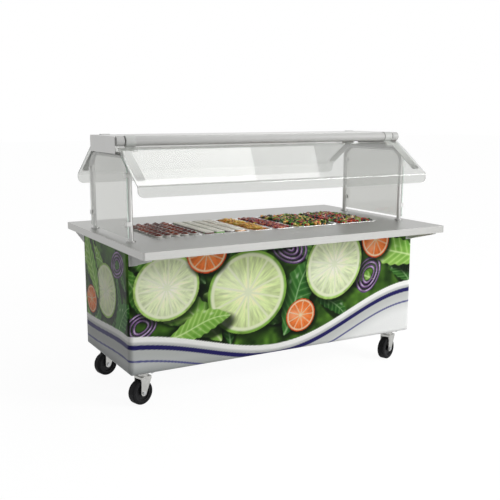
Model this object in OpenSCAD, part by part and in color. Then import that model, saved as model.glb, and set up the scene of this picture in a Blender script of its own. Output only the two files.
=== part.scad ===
// Mobile salad bar: a chilled five-bay well in a moulded body on swivel casters, with an
// overhanging steel counter and a double-sided breath guard whose two clear panels hinge up.
// Millimetres. X runs along the counter, Y is depth with the front at -Y, and Z rises from
// the floor. The origin is on the floor, under the middle of the counter.

/* [Counter] */
// Length of the counter
counter_l = 1964; // [1950:2:2100]
// Depth of the counter, with its overhang at the front and the back
counter_w = 1288; // [1240:2:1400]
// Height of the counter top above the floor
counter_h = 914; // [880:1:960]
// Thickness of the counter sheet
counter_t = 3; // [2:0.5:4]
// Depth of the lip that turns down round the counter
lip_h = 41; // [30:1:50]
// Width of the hem that turns in under the lip
hem_w = 8; // [6:1:9]
// Corner radius of the counter in plan
counter_r = 10; // [6:1:16]

/* [Body] */
// How far the counter reaches beyond the body at each end
end_overhang = 14; // [14:1:32]
// Depth of the moulded body
body_w = 748; // [720:2:800]
// Height of the body's lower edge above the floor
body_z = 190; // [188:1:200]
// Thickness of the moulded wall
body_t = 6; // [4:0.5:8]
// Corner radius of the body in plan
body_r = 28; // [20:1:40]
// Radius of the body's lower edge, where the wall turns under
body_edge = 25; // [16:1:28]
// Width of the part that turns in under the body
return_w = 160; // [150:1:180]

/* [Base] */
// Height of the base frame's tubes
rail_h = 40; // [30:1:50]
// Wall of the base frame's tubes
rail_t = 3; // [2:0.5:4]
// Side of the square pad above each caster
pad_w = 112; // [110:1:124]
// Thickness of the pads
pad_t = 8; // [6:1:10]
// Thickness of the floor panel
floor_t = 6; // [4:1:10]

/* [Well] */
// Number of bays in a row
bays = 5; // [5:1:5]
// Distance from the counter's end to the row of bays
well_end = 212; // [202:1:232]
// Gap between the rims of two pans
pan_gap = 6; // [4:1:8]
// Length of a pan over its rim
pan_l = 530; // [510:1:540]
// Width of the pan rim
rim_w = 12; // [10:1:14]
// Thickness of the pan rim
rim_t = 2; // [1.5:0.5:3]
// Thickness of the pan wall
pan_t = 1.5; // [1:0.5:2.5]
// Corner radius of a pan
pan_r = 18; // [12:1:24]
// Depth of the deep pans
deep_pan = 100; // [80:1:120]
// Depth of the shallow trays
shallow_pan = 28; // [24:1:40]
// Clearance between a pan and the edge of the opening
pan_clear = 2; // [1.5:0.5:3]
// Depth of the liner below the counter sheet
liner_depth = 212; // [190:1:240]
// Thickness of the liner
liner_t = 2; // [1.5:0.5:3]
// Width of the flange that holds the liner under the counter
flange_w = 25; // [20:1:35]
// Thickness of the insulation round the liner
foam_t = 40; // [30:1:50]
// Width of the bars between the pans
bar_w = 26; // [24:1:26]
// Distance from a bar's end to its web
bar_end = 15; // [8:1:20]
// Height of the false bottom above the liner's floor
false_z = 22; // [16:1:30]
// Radius of the holes in the false bottom
false_hole_r = 12; // [8:1:16]

/* [Drain] */
// Outer radius of the drain tube
drain_r = 13; // [11:0.5:16]
// Wall of the drain tube
drain_t = 2.5; // [2:0.5:3]
// Radius of the valve's body
valve_r = 21; // [19:1:24]
// Length of the valve's body
valve_l = 54; // [48:1:60]
// Length of the outlet below the valve
outlet_l = 32; // [26:1:36]
// Length of the valve's lever
lever_l = 78; // [60:1:84]

/* [Food] */
// Outer diameter of a portion cup
cup_d = 53; // [48:1:53]
// Gap between the cups
cup_gap = 1; // [0.8:0.1:1.4]
// Height of a portion cup
cup_h = 34; // [30:1:38]
// How far the loose food rises above the pan rims
heap_h = 13; // [8:1:24]
// How far the food lies below the rim at the pan's wall
heap_drop = 6; // [3:1:12]
// Height of the packets that stand in rows
packet_h = 36; // [30:1:42]
// Width of a row of packets
packet_w = 60; // [50:1:62]
// Gap between the rows of packets
packet_gap = 8; // [4:1:8]
// Distance from the row's end to the edge of the opening
packet_end = 13; // [8:1:20]

/* [Guard] */
// Distance from the counter's end to the middle of a post
post_inset = 69; // [66:1:80]
// Distance from the middle of the counter to the middle of a post, in depth
post_y = 296; // [290:1:306]
// Outer diameter of the posts
post_d = 25.4; // [22:0.1:28]
// Bend radius of the posts
post_bend = 60; // [45:1:75]
// Length of a post below the counter sheet
post_tail = 30; // [24:1:36]
// Height of the guard's top shelf above the floor
guard_h = 1470; // [1440:1:1520]
// Height of the plates at the ends of the shelf
end_plate_h = 92; // [86:1:100]
// Thickness of the end plates
end_plate_t = 6; // [4:1:8]
// Distance from the middle of a post out to the face of the end plate
end_plate_out = 37; // [34:1:40]
// Thickness of the shelf's sheet
shelf_t = 3; // [2:0.5:4]
// Depth of the shelf's turned-down edges
shelf_edge = 40; // [30:1:46]
// Thickness of the clear end panels
glass_t = 6; // [4:1:8]
// Gap between a post and an end panel
glass_gap = 2.3; // [1:0.1:3]
// Gap between the counter and an end panel
glass_lift = 22; // [14:1:30]
// Outer diameter of the collars round the posts
collar_d = 50; // [44:1:56]
// Height of the collars
collar_h = 8; // [6:1:12]
// Width of the clips that hold an end panel
clip_w = 30; // [24:1:34]
// Height of the clips
clip_h = 24; // [18:1:30]
// Distance from the counter up to the lower clips
clip_rise = 86; // [60:1:120]
// Distance from the knee of the posts down to the upper clips
clip_drop = 60; // [40:1:90]

/* [Hinged panels] */
// Outer diameter of the hinge tubes
hinge_d = 52; // [46:1:52]
// Wall of the hinge tubes
hinge_t = 2; // [1.5:0.5:3]
// Distance of a hinge line from the middle of the counter, in depth
hinge_y = 200; // [196:1:204]
// Length of a bearing block
block_l = 44; // [38:1:48]
// Gap between a hinge tube and its bearing block
block_gap = 6; // [4:1:8]
// Radius of the hinge pins
pin_r = 8; // [6:0.5:10]
// Length of the hinge pins in their blocks
pin_l = 28; // [22:1:30]
// Fall of the panels below level
panel_a = 33.8; // [30:0.2:36]
// Distance from the hinge line to the middle of the panel's thickness
panel_drop = 16.3; // [14:0.1:18]
// Distance along the slope from the hinge line to the panel's upper edge
panel_start = 38.7; // [36:0.1:44]
// Length of a panel along its slope
panel_l = 331; // [300:1:350]
// Depth of the lip along a panel's lower edge
panel_lip = 56; // [46:1:64]
// Thickness of the panels
panel_t = 6; // [5:0.5:8]
// Radius of the bend above the lip, on the middle of the thickness
panel_bend = 16; // [12:1:24]
// Radius of the panel's lower corners
panel_corner = 34; // [24:1:40]
// Gap between a panel's end and the end plate
panel_gap = 4; // [3:1:6]
// Width of an arm's blade
arm_w = 50; // [44:1:60]
// Distance from a panel's end to its arm
arm_inset = 14; // [10:1:18]
// Thickness of an arm
arm_t = 5; // [4:0.5:6]
// Length of an arm's blade along the slope
arm_l = 272; // [240:1:280]
// Width of the clamp that holds an arm on its tube
clamp_w = 56; // [46:1:60]
// Thickness of that clamp's band
clamp_t = 3.5; // [3:0.5:4]

/* [Brackets] */
// Distance from the counter's end to the middle of a bracket
bracket_inset = 47; // [44:1:60]
// Width of a bracket
bracket_w = 24; // [18:1:28]
// Reach of a bracket from the body
bracket_l = 238; // [200:1:250]
// Height of a bracket where it meets the body
bracket_root = 112; // [96:1:124]
// Height of a bracket at its nose
bracket_nose = 54; // [48:1:64]
// Width of the plate that holds a bracket on the body
bracket_plate = 48; // [40:1:56]

/* [Casters] */
// Diameter of the wheels
wheel_d = 140; // [134:1:150]
// Width of the tyres
wheel_w = 48; // [40:1:50]
// Diameter of the hubs
hub_d = 104; // [90:1:112]
// Distance of a swivel line from the body's end
caster_x = 107; // [96:1:120]
// Distance of a swivel line from the body's front or back
caster_y = 84; // [80:1:96]
// Distance that a wheel trails behind its swivel line
trail = 22; // [20:1:30]
// Radius of the axles
axle_r = 6; // [5:0.5:8]
// Thickness of a fork's legs
leg_t = 6; // [4:1:8]
// Thickness of a fork's crown
crown_t = 12; // [10:1:14]
// Side of the mounting plates
plate_w = 100; // [96:1:104]
// Thickness of the mounting plates
plate_t = 6; // [5:1:8]
// Spacing of the bolts in a mounting plate
bolt_pitch = 76; // [72:1:78]
// Radius of the bolts
bolt_r = 5; // [4:0.5:6]
// Turn of the front left caster at rest
turn_front_left = 17; // [0:1:40]
// Turn of the front right caster at rest
turn_front_right = 21; // [0:1:40]
// Turn of the back left caster at rest
turn_rear_left = 14; // [0:1:40]
// Turn of the back right caster at rest
turn_rear_right = 17; // [0:1:40]

/* [Hidden] */
$fn = 64;

// Clearances: a loose fit, a running fit, and the extra length of a cut through a face.
fit = 0.3;
run = 0.05;
cut = 1;

// A tube or sheet swells a little where it is bent, and its straight runs reach into the bend.
bend_swell = 0.05;
bend_root = 0.3;

// Counter, body and base
under_z = counter_h - counter_t;
body_l = counter_l - 2 * end_overhang;
body_in_l = body_l - 2 * body_t;
body_in_w = body_w - 2 * body_t;
frame_z = body_z + body_t;
frame_l = body_l - 2 * body_edge;
frame_w = body_w - 2 * body_edge;
floor_z = frame_z + rail_h;

// Casters, each as [sign in X, sign in Y, turn at rest]
FRONT_LEFT = [-1, -1, turn_front_left];
FRONT_RIGHT = [1, -1, turn_front_right];
REAR_LEFT = [-1, 1, turn_rear_left];
REAR_RIGHT = [1, 1, turn_rear_right];
CASTERS = [FRONT_LEFT, FRONT_RIGHT, REAR_LEFT, REAR_RIGHT];
swivel_x = body_l / 2 - caster_x;
swivel_y = body_w / 2 - caster_y;
wheel_r = wheel_d / 2;
tyre_round = 9;
leg_gap = 3;
leg_in = wheel_w / 2 + leg_gap;
leg_top_w = 70;
leg_end_r = 18;
crown_lift = 8;
crown_z = wheel_d + crown_lift;
plate_z = body_z - plate_t;
race_r = 30;
race_h = (plate_z - crown_z - crown_t - fit) / 2;
kingpin_r = 8;
bolt_head = 6;
nut_r = bolt_r * 1.7;
nut_h = 8;

// The base frame's tubes leave room for the casters' nuts.
side_rail_w = frame_w / 2 - swivel_y - bolt_pitch / 2 + nut_r + rail_t;
cross_rail_w = frame_l / 2 - swivel_x - bolt_pitch / 2 - nut_r - 2;

// Well and pans
bay_pitch = (counter_l - 2 * well_end) / bays;
pan_w = bay_pitch - pan_gap;
half_pan_w = (pan_w - pan_gap) / 2;
open_l = bays * bay_pitch - pan_gap - 2 * rim_w + 2 * pan_clear;
open_w = pan_l - 2 * rim_w;
liner_l = open_l + 2 * pan_clear;
liner_w = open_w + 2 * pan_clear;
liner_z = under_z - liner_depth;
liner_floor = liner_z + liner_t;
bar_t = 3;
bar_web = 20;
BARS = [for (i = [1:bays - 1]) (i - bays / 2) * bay_pitch];
ALL_BARS = concat(BARS, [0]);
false_t = 3;
false_top = liner_floor + false_z;

// Guard, on the section through the posts: y grows outwards and z upwards
post_x = counter_l / 2 - post_inset;
post_r = post_d / 2;
end_x = post_x + end_plate_out;
plate_low = guard_h - end_plate_h;
hoop_z = plate_low - post_r;
hoop_below = 35;
hinge_z = guard_h - hinge_d / 2;
hinge_r = hinge_d / 2;
tube_end = end_x - block_l - block_gap;
foot_y = hinge_y - panel_drop * sin(panel_a);
foot_z = hinge_z - panel_drop * cos(panel_a);
hoop_knee = foot_z - (post_y - foot_y) * tan(panel_a) - hoop_below / cos(panel_a);
hoop_shoulder = post_y - (hoop_z - hoop_knee) / tan(panel_a);
post_foot = under_z - post_tail;
glass_x = post_x + post_r + glass_gap;
glass_top = plate_low - 8;
panel_half = end_x - panel_gap;
shelf_half = hinge_y - hinge_r - clamp_t - 4;

// Valve under the body
valve_top = body_z - 14;
valve_mid = valve_top - valve_l / 2;
stem_r = 5;
stem_nut = 4;
lever_t = 4;
lever_y = valve_r + 3;

// Plan of a rectangle with round corners, of length l and width w.
module round_plan(l, w, r) {
    square([l - 2 * r, w], center = true);
    square([l, w - 2 * r], center = true);
    for (x = [-1, 1], y = [-1, 1])
        translate([x * (l / 2 - r), y * (w / 2 - r)]) circle(r);
}

// Round-cornered block standing on z.
module round_block(l, w, r, z, h) {
    translate([0, 0, z]) linear_extrude(h) round_plan(l, w, r);
}

// Block centred in X and Y, standing on z.
module block(l, w, z, h) {
    translate([-l / 2, -w / 2, z]) cube([l, w, h]);
}

// Section drawn as [y, z], carried along X from x0 to x1.
module along_x(x0, x1) {
    translate([x0, 0, 0]) rotate([90, 0, 90]) linear_extrude(x1 - x0) children();
}

// Cylinder along X from x0 to x1, about the line [y, z].
module rod_x(x0, x1, r, y, z) {
    translate([x0, y, z]) rotate([0, 90, 0]) cylinder(r = r, h = x1 - x0);
}

// Children at each end of the counter, the second one mirrored.
module both_ends() {
    children();
    mirror([1, 0, 0]) children();
}

// ---------------------------------------------------------------- body and base

module bolt_holes(r, z, h) {
    for (c = CASTERS, x = [-1, 1], y = [-1, 1])
        translate([c[0] * swivel_x + x * bolt_pitch / 2, c[1] * swivel_y + y * bolt_pitch / 2, z])
            cylinder(r = r, h = h);
}

// Section of the body across a width w, from z up, with round lower corners of radius r.
module tub_section(w, r, z) {
    translate([-w / 2, z + r]) square([w, under_z - z - r]);
    translate([r - w / 2, z]) square([w - 2 * r, r + cut]);
    for (s = [-1, 1]) translate([s * (w / 2 - r), z + r]) circle(r);
}

// Tub of length l and width w standing on z: upright corners of radius r, lower edges of radius e.
module tub(l, w, r, e, z) {
    intersection() {
        round_block(l, w, r, z, under_z - z);
        along_x(-l / 2 - cut, l / 2 + cut) tub_section(w, e, z);
        translate([0, w / 2 + cut, 0]) rotate([90, 0, 0]) linear_extrude(w + 2 * cut)
            tub_section(l, e, z);
    }
}

module body_shell() {
    color("whitesmoke") difference() {
        tub(body_l, body_w, body_r, body_edge, body_z);
        tub(body_in_l, body_in_w, body_r - body_t, body_edge - body_t, frame_z);
        block(body_l - 2 * return_w, body_w - 2 * return_w, body_z - cut, body_t + 2 * cut);
        bolt_holes(bolt_r + fit, body_z - cut, body_t + 2 * cut);
    }
}

// Square tube of width w along X, with open ends.
module rail(l, w) {
    difference() {
        cube([l, w, rail_h], center = true);
        cube([l + 2 * cut, w - 2 * rail_t, rail_h - 2 * rail_t], center = true);
    }
}

module base_frame() {
    color("dimgray") difference() {
        union() {
            for (s = [-1, 1]) {
                translate([0, s * (frame_w - side_rail_w) / 2, frame_z + rail_h / 2])
                    rail(frame_l, side_rail_w);
                translate([s * (frame_l - cross_rail_w) / 2, 0, frame_z + rail_h / 2])
                    rotate([0, 0, 90]) rail(frame_w - 2 * side_rail_w, cross_rail_w);
            }
            for (c = CASTERS)
                translate([c[0] * swivel_x, c[1] * swivel_y, 0]) block(pad_w, pad_w, frame_z, pad_t);
        }
        bolt_holes(bolt_r + fit, frame_z - cut, pad_t + 2 * cut);
    }
}

module floor_panel() {
    color("gainsboro") difference() {
        round_block(frame_l, frame_w, body_r, floor_z, floor_t);
        translate([0, 0, floor_z - cut]) cylinder(r = drain_r + fit, h = floor_t + 2 * cut);
    }
}

// ---------------------------------------------------------------- counter

// Tabs under the edges of the counter's opening, on which the ends of the bars rest.
module bar_seats() {
    tab_w = bar_w - 6;
    tab_l = 9;
    for (x = ALL_BARS, s = [-1, 1])
        translate([x - tab_w / 2, s > 0 ? liner_w / 2 - tab_l : -liner_w / 2, under_z - liner_t])
            cube([tab_w, tab_l, liner_t]);
}

module counter_top() {
    lip_in = 2 * counter_t;
    color("silver") bar_seats();
    color("silver") difference() {
        round_block(counter_l, counter_w, counter_r, counter_h - lip_h, lip_h);
        round_block(counter_l - lip_in, counter_w - lip_in, counter_r - counter_t,
            counter_h - lip_h + counter_t, lip_h - 2 * counter_t);
        block(counter_l - lip_in - 2 * hem_w, counter_w - lip_in - 2 * hem_w,
            counter_h - lip_h - cut, counter_t + 2 * cut);
        block(open_l, open_w, under_z - cut, counter_t + 2 * cut);
        for (x = [-1, 1], y = [-1, 1])
            translate([x * post_x, y * post_y, under_z - cut])
                cylinder(r = post_r + fit, h = counter_t + 2 * cut);
    }
}

// Side of a bracket in the plane of Y and Z, for the back of the counter.
module bracket_side() {
    nose_r = bracket_nose / 4;
    y0 = body_w / 2;
    y1 = y0 + bracket_l;
    polygon([[y0, under_z], [y0, under_z - bracket_root], [y1 - nose_r, under_z - bracket_nose],
        [y1 - nose_r, under_z - bracket_nose + nose_r], [y1, under_z - bracket_nose + nose_r],
        [y1, under_z]]);
    translate([y1 - nose_r, under_z - bracket_nose + nose_r]) circle(nose_r);
}

module bracket() {
    x = counter_l / 2 - bracket_inset;
    along_x(x - bracket_w / 2, x + bracket_w / 2) bracket_side();
    translate([x - bracket_plate / 2, body_w / 2, under_z - bracket_root])
        cube([bracket_plate, body_t, bracket_root]);
}

module counter_brackets() {
    color("lightgray") both_ends() {
        bracket();
        mirror([0, 1, 0]) bracket();
    }
}

// ---------------------------------------------------------------- well

module well_liner() {
    color("silver") difference() {
        union() {
            block(liner_l + 2 * liner_t, liner_w + 2 * liner_t, liner_z, liner_depth);
            block(liner_l + 2 * flange_w, liner_w + 2 * flange_w, under_z - liner_t, liner_t);
        }
        block(liner_l, liner_w, liner_floor, liner_depth + cut);
        translate([0, 0, liner_z - cut]) cylinder(r = drain_r - drain_t, h = liner_t + 2 * cut);
    }
}

module well_insulation() {
    out_l = liner_l + 2 * liner_t;
    out_w = liner_w + 2 * liner_t;
    low = liner_z - foam_t;
    color("khaki") difference() {
        block(out_l + 2 * foam_t, out_w + 2 * foam_t, low, under_z - liner_t - low);
        block(out_l, out_w, liner_z, liner_depth + cut);
        translate([0, 0, low - cut]) cylinder(r = drain_r + fit, h = foam_t + 2 * cut);
    }
}

module false_bottom() {
    edge = 6;
    l = liner_l - 2 * edge;
    w = liner_w - 2 * edge;
    foot = 18;
    columns = 9;
    rows = 3;
    color("silver") difference() {
        union() {
            block(l, w, false_top - false_t, false_t);
            for (x = [-1, 0, 1], y = [-1, 1])
                translate([x * (l - foot) / 2, y * (w - foot) / 2, 0])
                    block(foot, foot, liner_floor, false_z);
        }
        for (i = [0:columns - 1], j = [0:rows - 1])
            translate([(i + 0.5 - columns / 2) * l / columns, (j - 1) * w / (rows + 0.5),
                false_top - false_t - cut])
                cylinder(r = false_hole_r, h = false_t + 2 * cut);
    }
}

module adapter_bars() {
    web_t = 3;
    color("silver") for (x = ALL_BARS) translate([x, 0, 0]) {
        block(bar_w, open_w - 2 * fit, under_z, bar_t);
        block(web_t, open_w - 2 * bar_end, under_z - bar_web, bar_web);
    }
}

// ---------------------------------------------------------------- drain

module drain_tube() {
    low = valve_top;
    color("silver") difference() {
        translate([0, 0, low]) cylinder(r = drain_r, h = liner_z - low);
        translate([0, 0, low - cut]) cylinder(r = drain_r - drain_t, h = liner_z - low + 2 * cut);
    }
}

module drain_valve() {
    low = valve_top - valve_l - outlet_l;
    color("goldenrod") difference() {
        union() {
            translate([0, 0, valve_top - valve_l]) cylinder(r = valve_r, h = valve_l);
            translate([0, 0, low]) cylinder(r = drain_r, h = outlet_l + cut);
            translate([0, 0, valve_mid]) rotate([-90, 0, 0]) {
                cylinder(r = stem_r, h = lever_y + lever_t + fit + cut);
                cylinder(r = stem_r + 4, h = lever_y - fit / 2);
                translate([0, 0, lever_y + lever_t + fit / 2]) cylinder(r = stem_r + 3, h = stem_nut);
            }
        }
        translate([0, 0, low - cut])
            cylinder(r = drain_r - drain_t, h = valve_l + outlet_l + 2 * cut);
        for (s = [-1, 1]) translate([s > 0 ? valve_r - 4 : -valve_r - cut, -valve_r, valve_mid - 12])
            cube([4 + cut, 2 * valve_r, 24]);
    }
    color("goldenrod") translate([0, 0, valve_mid]) sphere(r = drain_r - drain_t + 1);
}

module valve_lever() {
    lever_w = 16;
    color("firebrick") translate([0, 0, valve_mid]) difference() {
        union() {
            translate([0, lever_y, 0]) rotate([-90, 0, 0]) cylinder(r = lever_w / 2 + 2, h = lever_t);
            translate([0, lever_y, -lever_w / 2]) cube([lever_l, lever_t, lever_w]);
            translate([lever_l, lever_y, 0]) rotate([-90, 0, 0])
                cylinder(r = lever_w / 2, h = lever_t);
        }
        translate([0, lever_y - cut, 0]) rotate([-90, 0, 0])
            cylinder(r = stem_r + run, h = lever_t + 2 * cut);
    }
}

// ---------------------------------------------------------------- pans and food

function bay_x(i) = (i - (bays - 1) / 2) * bay_pitch;
half_x = (half_pan_w + pan_gap) / 2;

module pan(w, depth) {
    body_pan_w = w - 2 * rim_w;
    body_pan_l = open_w - 2 * pan_clear;
    inner_w = body_pan_w - 2 * pan_t;
    inner_l = body_pan_l - 2 * pan_t;
    top = counter_h + rim_t;
    difference() {
        union() {
            round_block(w, pan_l, pan_r, counter_h, rim_t);
            round_block(body_pan_w, body_pan_l, pan_r - 2, top - depth, depth - rim_t / 2);
        }
        round_block(inner_w, inner_l, pan_r - 2 - pan_t, top - depth + pan_t, depth + cut);
    }
}

function fill_w(w) = w - 2 * rim_w - 2 * pan_t - 2 * fit;
fill_l = open_w - 2 * pan_clear - 2 * pan_t - 2 * fit;

// Space inside a pan, from its floor to height z.
module pan_fill(w, depth, z) {
    floor_top = counter_h + rim_t - depth + pan_t;
    round_block(fill_w(w), fill_l, pan_r - 2 - pan_t - fit, floor_top, z - floor_top);
}

// Heap of loose food: the pan's space under a broad crown in both directions.
module heap(w, depth) {
    edge_z = counter_h + rim_t - heap_drop;
    rise = heap_h + heap_drop;
    across = (pow(w / 2, 2) + pow(rise, 2)) / (2 * rise);
    along = (pow(pan_l / 2, 2) + pow(rise, 2)) / (2 * rise);
    intersection() {
        pan_fill(w, depth, counter_h + rim_t + heap_h);
        translate([0, pan_l / 2, edge_z + rise - across]) rotate([90, 0, 0])
            cylinder(r = across, h = pan_l, $fn = 180);
        translate([-w / 2, 0, edge_z + rise - along]) rotate([0, 90, 0])
            cylinder(r = along, h = w, $fn = 180);
    }
}

module cup_tray() { color("silver") translate([bay_x(0), 0, 0]) pan(pan_w, shallow_pan); }
module packet_tray() { color("silver") translate([bay_x(1), 0, 0]) pan(pan_w, shallow_pan); }
module carrot_pan() { color("silver") translate([-half_x, 0, 0]) pan(half_pan_w, deep_pan); }
module beetroot_pan() { color("silver") translate([half_x, 0, 0]) pan(half_pan_w, deep_pan); }
module greens_pan() { color("silver") translate([bay_x(3), 0, 0]) pan(pan_w, deep_pan); }
module pepper_pan() { color("silver") translate([bay_x(4), 0, 0]) pan(pan_w, deep_pan); }

module carrot_food() { color("darkorange") translate([-half_x, 0, 0]) heap(half_pan_w, deep_pan); }
module beetroot_food() { color("firebrick") translate([half_x, 0, 0]) heap(half_pan_w, deep_pan); }
module greens_food() { color("olivedrab") translate([bay_x(3), 0, 0]) heap(pan_w, deep_pan); }
module pepper_food() { color("indianred") translate([bay_x(4), 0, 0]) heap(pan_w, deep_pan); }

module portion_cups() {
    pitch = cup_d + cup_gap;
    columns = floor(fill_w(pan_w) / pitch);
    rows = floor(fill_l / pitch);
    color("sienna") translate([bay_x(0), 0, counter_h + rim_t - shallow_pan + pan_t])
        for (i = [0:columns - 1], j = [0:rows - 1])
            translate([(i - (columns - 1) / 2) * pitch, (j - (rows - 1) / 2) * pitch, 0])
                cylinder(r = cup_d / 2, h = cup_h, $fn = 24);
}

module dressing_packets() {
    pitch = packet_w + packet_gap;
    rows = floor((fill_w(pan_w) + packet_gap) / pitch);
    row_l = open_w - 2 * packet_end;
    color("ivory") translate([bay_x(1), 0, 0]) for (i = [0:rows - 1])
        translate([(i - (rows - 1) / 2) * pitch, 0, 0])
            block(packet_w, row_l, counter_h + rim_t - shallow_pan + pan_t, packet_h);
}

// ---------------------------------------------------------------- guard

function direction(a, b) = (b - a) / norm(b - a);
function cross2(a, b) = a[0] * b[1] - a[1] * b[0];

// Straight rod between two points [y, z] of the guard's section.
module rod_yz(a, b, r) {
    d = direction(a, b);
    translate([0, a[0], a[1]]) rotate([atan2(d[1], d[0]) - 90, 0, 0])
        cylinder(r = r, h = norm(b - a));
}

// Rod of radius r along the points, with each corner turned at the bend radius.
module bent_rod(points, r, bend) {
    last = len(points) - 1;
    turn = [for (i = [0:last]) i == 0 || i == last ? 0 :
        acos(direction(points[i - 1], points[i]) * direction(points[i], points[i + 1]))];
    trim = [for (t = turn) bend * tan(t / 2)];
    for (i = [0:last - 1]) {
        d = direction(points[i], points[i + 1]);
        rod_yz(points[i] + d * (trim[i] - (i == 0 ? 0 : bend_root)),
            points[i + 1] - d * (trim[i + 1] - (i == last - 1 ? 0 : bend_root)), r);
    }
    for (i = [1:last - 1]) {
        d = direction(points[i - 1], points[i]);
        side = cross2(d, points[i + 1] - points[i]) > 0 ? 1 : -1;
        start = points[i] - d * trim[i];
        centre = start + side * bend * [-d[1], d[0]];
        from = atan2(start[1] - centre[1], start[0] - centre[0]);
        translate([0, centre[0], centre[1]]) rotate([90, 0, 90])
            rotate([0, 0, side > 0 ? from : from - turn[i]])
                rotate_extrude(angle = turn[i]) translate([bend, 0]) circle(r + bend_swell);
    }
}

HOOP = [[-post_y, post_foot], [-post_y, hoop_knee], [-hoop_shoulder, hoop_z],
    [hoop_shoulder, hoop_z], [post_y, hoop_knee], [post_y, post_foot]];

module hoop(side) {
    color("gainsboro") translate([side * post_x, 0, 0]) bent_rod(HOOP, post_r, post_bend);
}

module at_posts() {
    for (x = [-1, 1], y = [-1, 1]) translate([x * post_x, y * post_y, 0]) children();
}

module post_collars() {
    color("gainsboro") at_posts() translate([0, 0, counter_h]) difference() {
        cylinder(d = collar_d, h = collar_h);
        translate([0, 0, -cut]) cylinder(r = post_r + run, h = collar_h + 2 * cut);
    }
}

module post_nuts() {
    washer_t = 2;
    color("gray") at_posts() difference() {
        union() {
            translate([0, 0, under_z - washer_t]) cylinder(r = post_r + 10, h = washer_t);
            translate([0, 0, under_z - washer_t - nut_h]) cylinder(r = post_r + 8, h = nut_h, $fn = 6);
        }
        translate([0, 0, under_z - washer_t - nut_h - cut])
            cylinder(r = post_r + run, h = washer_t + nut_h + 2 * cut);
    }
}

// End plate of the shelf, with the foot that stands on the hoop. The part's right end.
module end_plate() {
    plate_half = hinge_y + hinge_r / 5;
    foot_in = post_x - post_r;
    along_x(end_x, end_x + end_plate_t)
        translate([0, plate_low + end_plate_h / 2]) round_plan(2 * plate_half, end_plate_h, 8);
    translate([foot_in, -hoop_shoulder + post_bend, plate_low])
        cube([end_x - foot_in + cut, 2 * (hoop_shoulder - post_bend), end_plate_t]);
}

module left_end_plate() { color("darkgray") mirror([1, 0, 0]) end_plate(); }
module right_end_plate() { color("darkgray") end_plate(); }

// Clear panel outside the posts of the right end.
module end_glass() {
    glass_y = post_y + post_r - 2;
    low = counter_h + glass_lift;
    knee = hoop_knee - 4;
    shoulder = glass_y - (glass_top - knee) / tan(panel_a);
    along_x(glass_x, glass_x + glass_t)
        polygon([[-glass_y, low], [glass_y, low], [glass_y, knee], [shoulder, glass_top],
            [-shoulder, glass_top], [-glass_y, knee]]);
}

module left_end_glass() { color("lightcyan", 0.4) mirror([1, 0, 0]) end_glass(); }
module right_end_glass() { color("lightcyan", 0.4) end_glass(); }

module glass_clips() {
    jaw = 4;
    clip_z = [counter_h + clip_rise, hoop_knee - clip_drop];
    glass_y = post_y + post_r - 2;
    color("silver") both_ends() for (z = clip_z, y = [-1, 1]) difference() {
        translate([post_x + 2, y * (glass_y + jaw - clip_w / 2) - clip_w / 2, z])
            cube([glass_x + glass_t + jaw - post_x - 2, clip_w, clip_h]);
        translate([post_x, y * post_y, z - cut]) cylinder(r = post_r + run, h = clip_h + 2 * cut);
        translate([glass_x - run, -glass_y - run, z - cut])
            cube([glass_t + 2 * run, 2 * glass_y + 2 * run, clip_h + 2 * cut]);
    }
}

module top_shelf() {
    color("silver") along_x(-end_x, end_x) difference() {
        translate([-shelf_half, guard_h - shelf_edge]) square([2 * shelf_half, shelf_edge]);
        translate([-shelf_half + shelf_t, guard_h - shelf_edge - cut])
            square([2 * (shelf_half - shelf_t), shelf_edge - shelf_t + cut]);
    }
}

module bearing_blocks() {
    x0 = end_x - block_l;
    color("silver") both_ends() for (y = [-1, 1]) difference() {
        rod_x(x0, end_x, hinge_r, y * hinge_y, hinge_z);
        rod_x(x0 - cut, x0 + pin_l + 2, pin_r + run, y * hinge_y, hinge_z);
    }
}

// ---------------------------------------------------------------- hinged panels, drawn at the back

module hinge_tube() {
    plug_l = 12;
    color("silver") difference() {
        rod_x(-tube_end, tube_end, hinge_r, hinge_y, hinge_z);
        rod_x(-tube_end + plug_l, tube_end - plug_l, hinge_r - hinge_t, hinge_y, hinge_z);
    }
    color("silver") both_ends() rod_x(tube_end - cut, tube_end + block_gap + pin_l, pin_r, hinge_y, hinge_z);
}

// Places a section drawn along the slope: x down the slope, y square to it, from the hinge line.
module on_slope() {
    translate([foot_y, foot_z]) rotate(-panel_a) children();
}

// Carries a plan, with its Y down the slope from the hinge line, as a plate under the panel.
module under_slope() {
    translate([0, foot_y, foot_z]) rotate([-panel_a, 0, 0]) translate([0, 0, -panel_t / 2 - arm_t])
        linear_extrude(arm_t) children();
}

module panel_section() {
    bend_a = 90 - panel_a;
    trim = panel_bend * tan(bend_a / 2);
    flat_end = panel_start + panel_l - trim;
    corner = [foot_y + (panel_start + panel_l) * cos(panel_a), foot_z - (panel_start + panel_l) * sin(panel_a)];
    on_slope() translate([panel_start, -panel_t / 2])
        square([flat_end - panel_start + bend_root, panel_t]);
    on_slope() translate([flat_end, -panel_bend]) intersection() {
        difference() {
            circle(panel_bend + panel_t / 2 + bend_swell);
            circle(panel_bend - panel_t / 2 - bend_swell);
        }
        polygon([[0, 0], [0, 3 * panel_bend], [3 * panel_bend, 3 * panel_bend],
            [3 * panel_bend * sin(bend_a), 3 * panel_bend * cos(bend_a)]]);
    }
    translate([corner[0] - panel_t / 2, corner[1] - panel_lip]) square([panel_t, panel_lip - trim + bend_root]);
}

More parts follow.
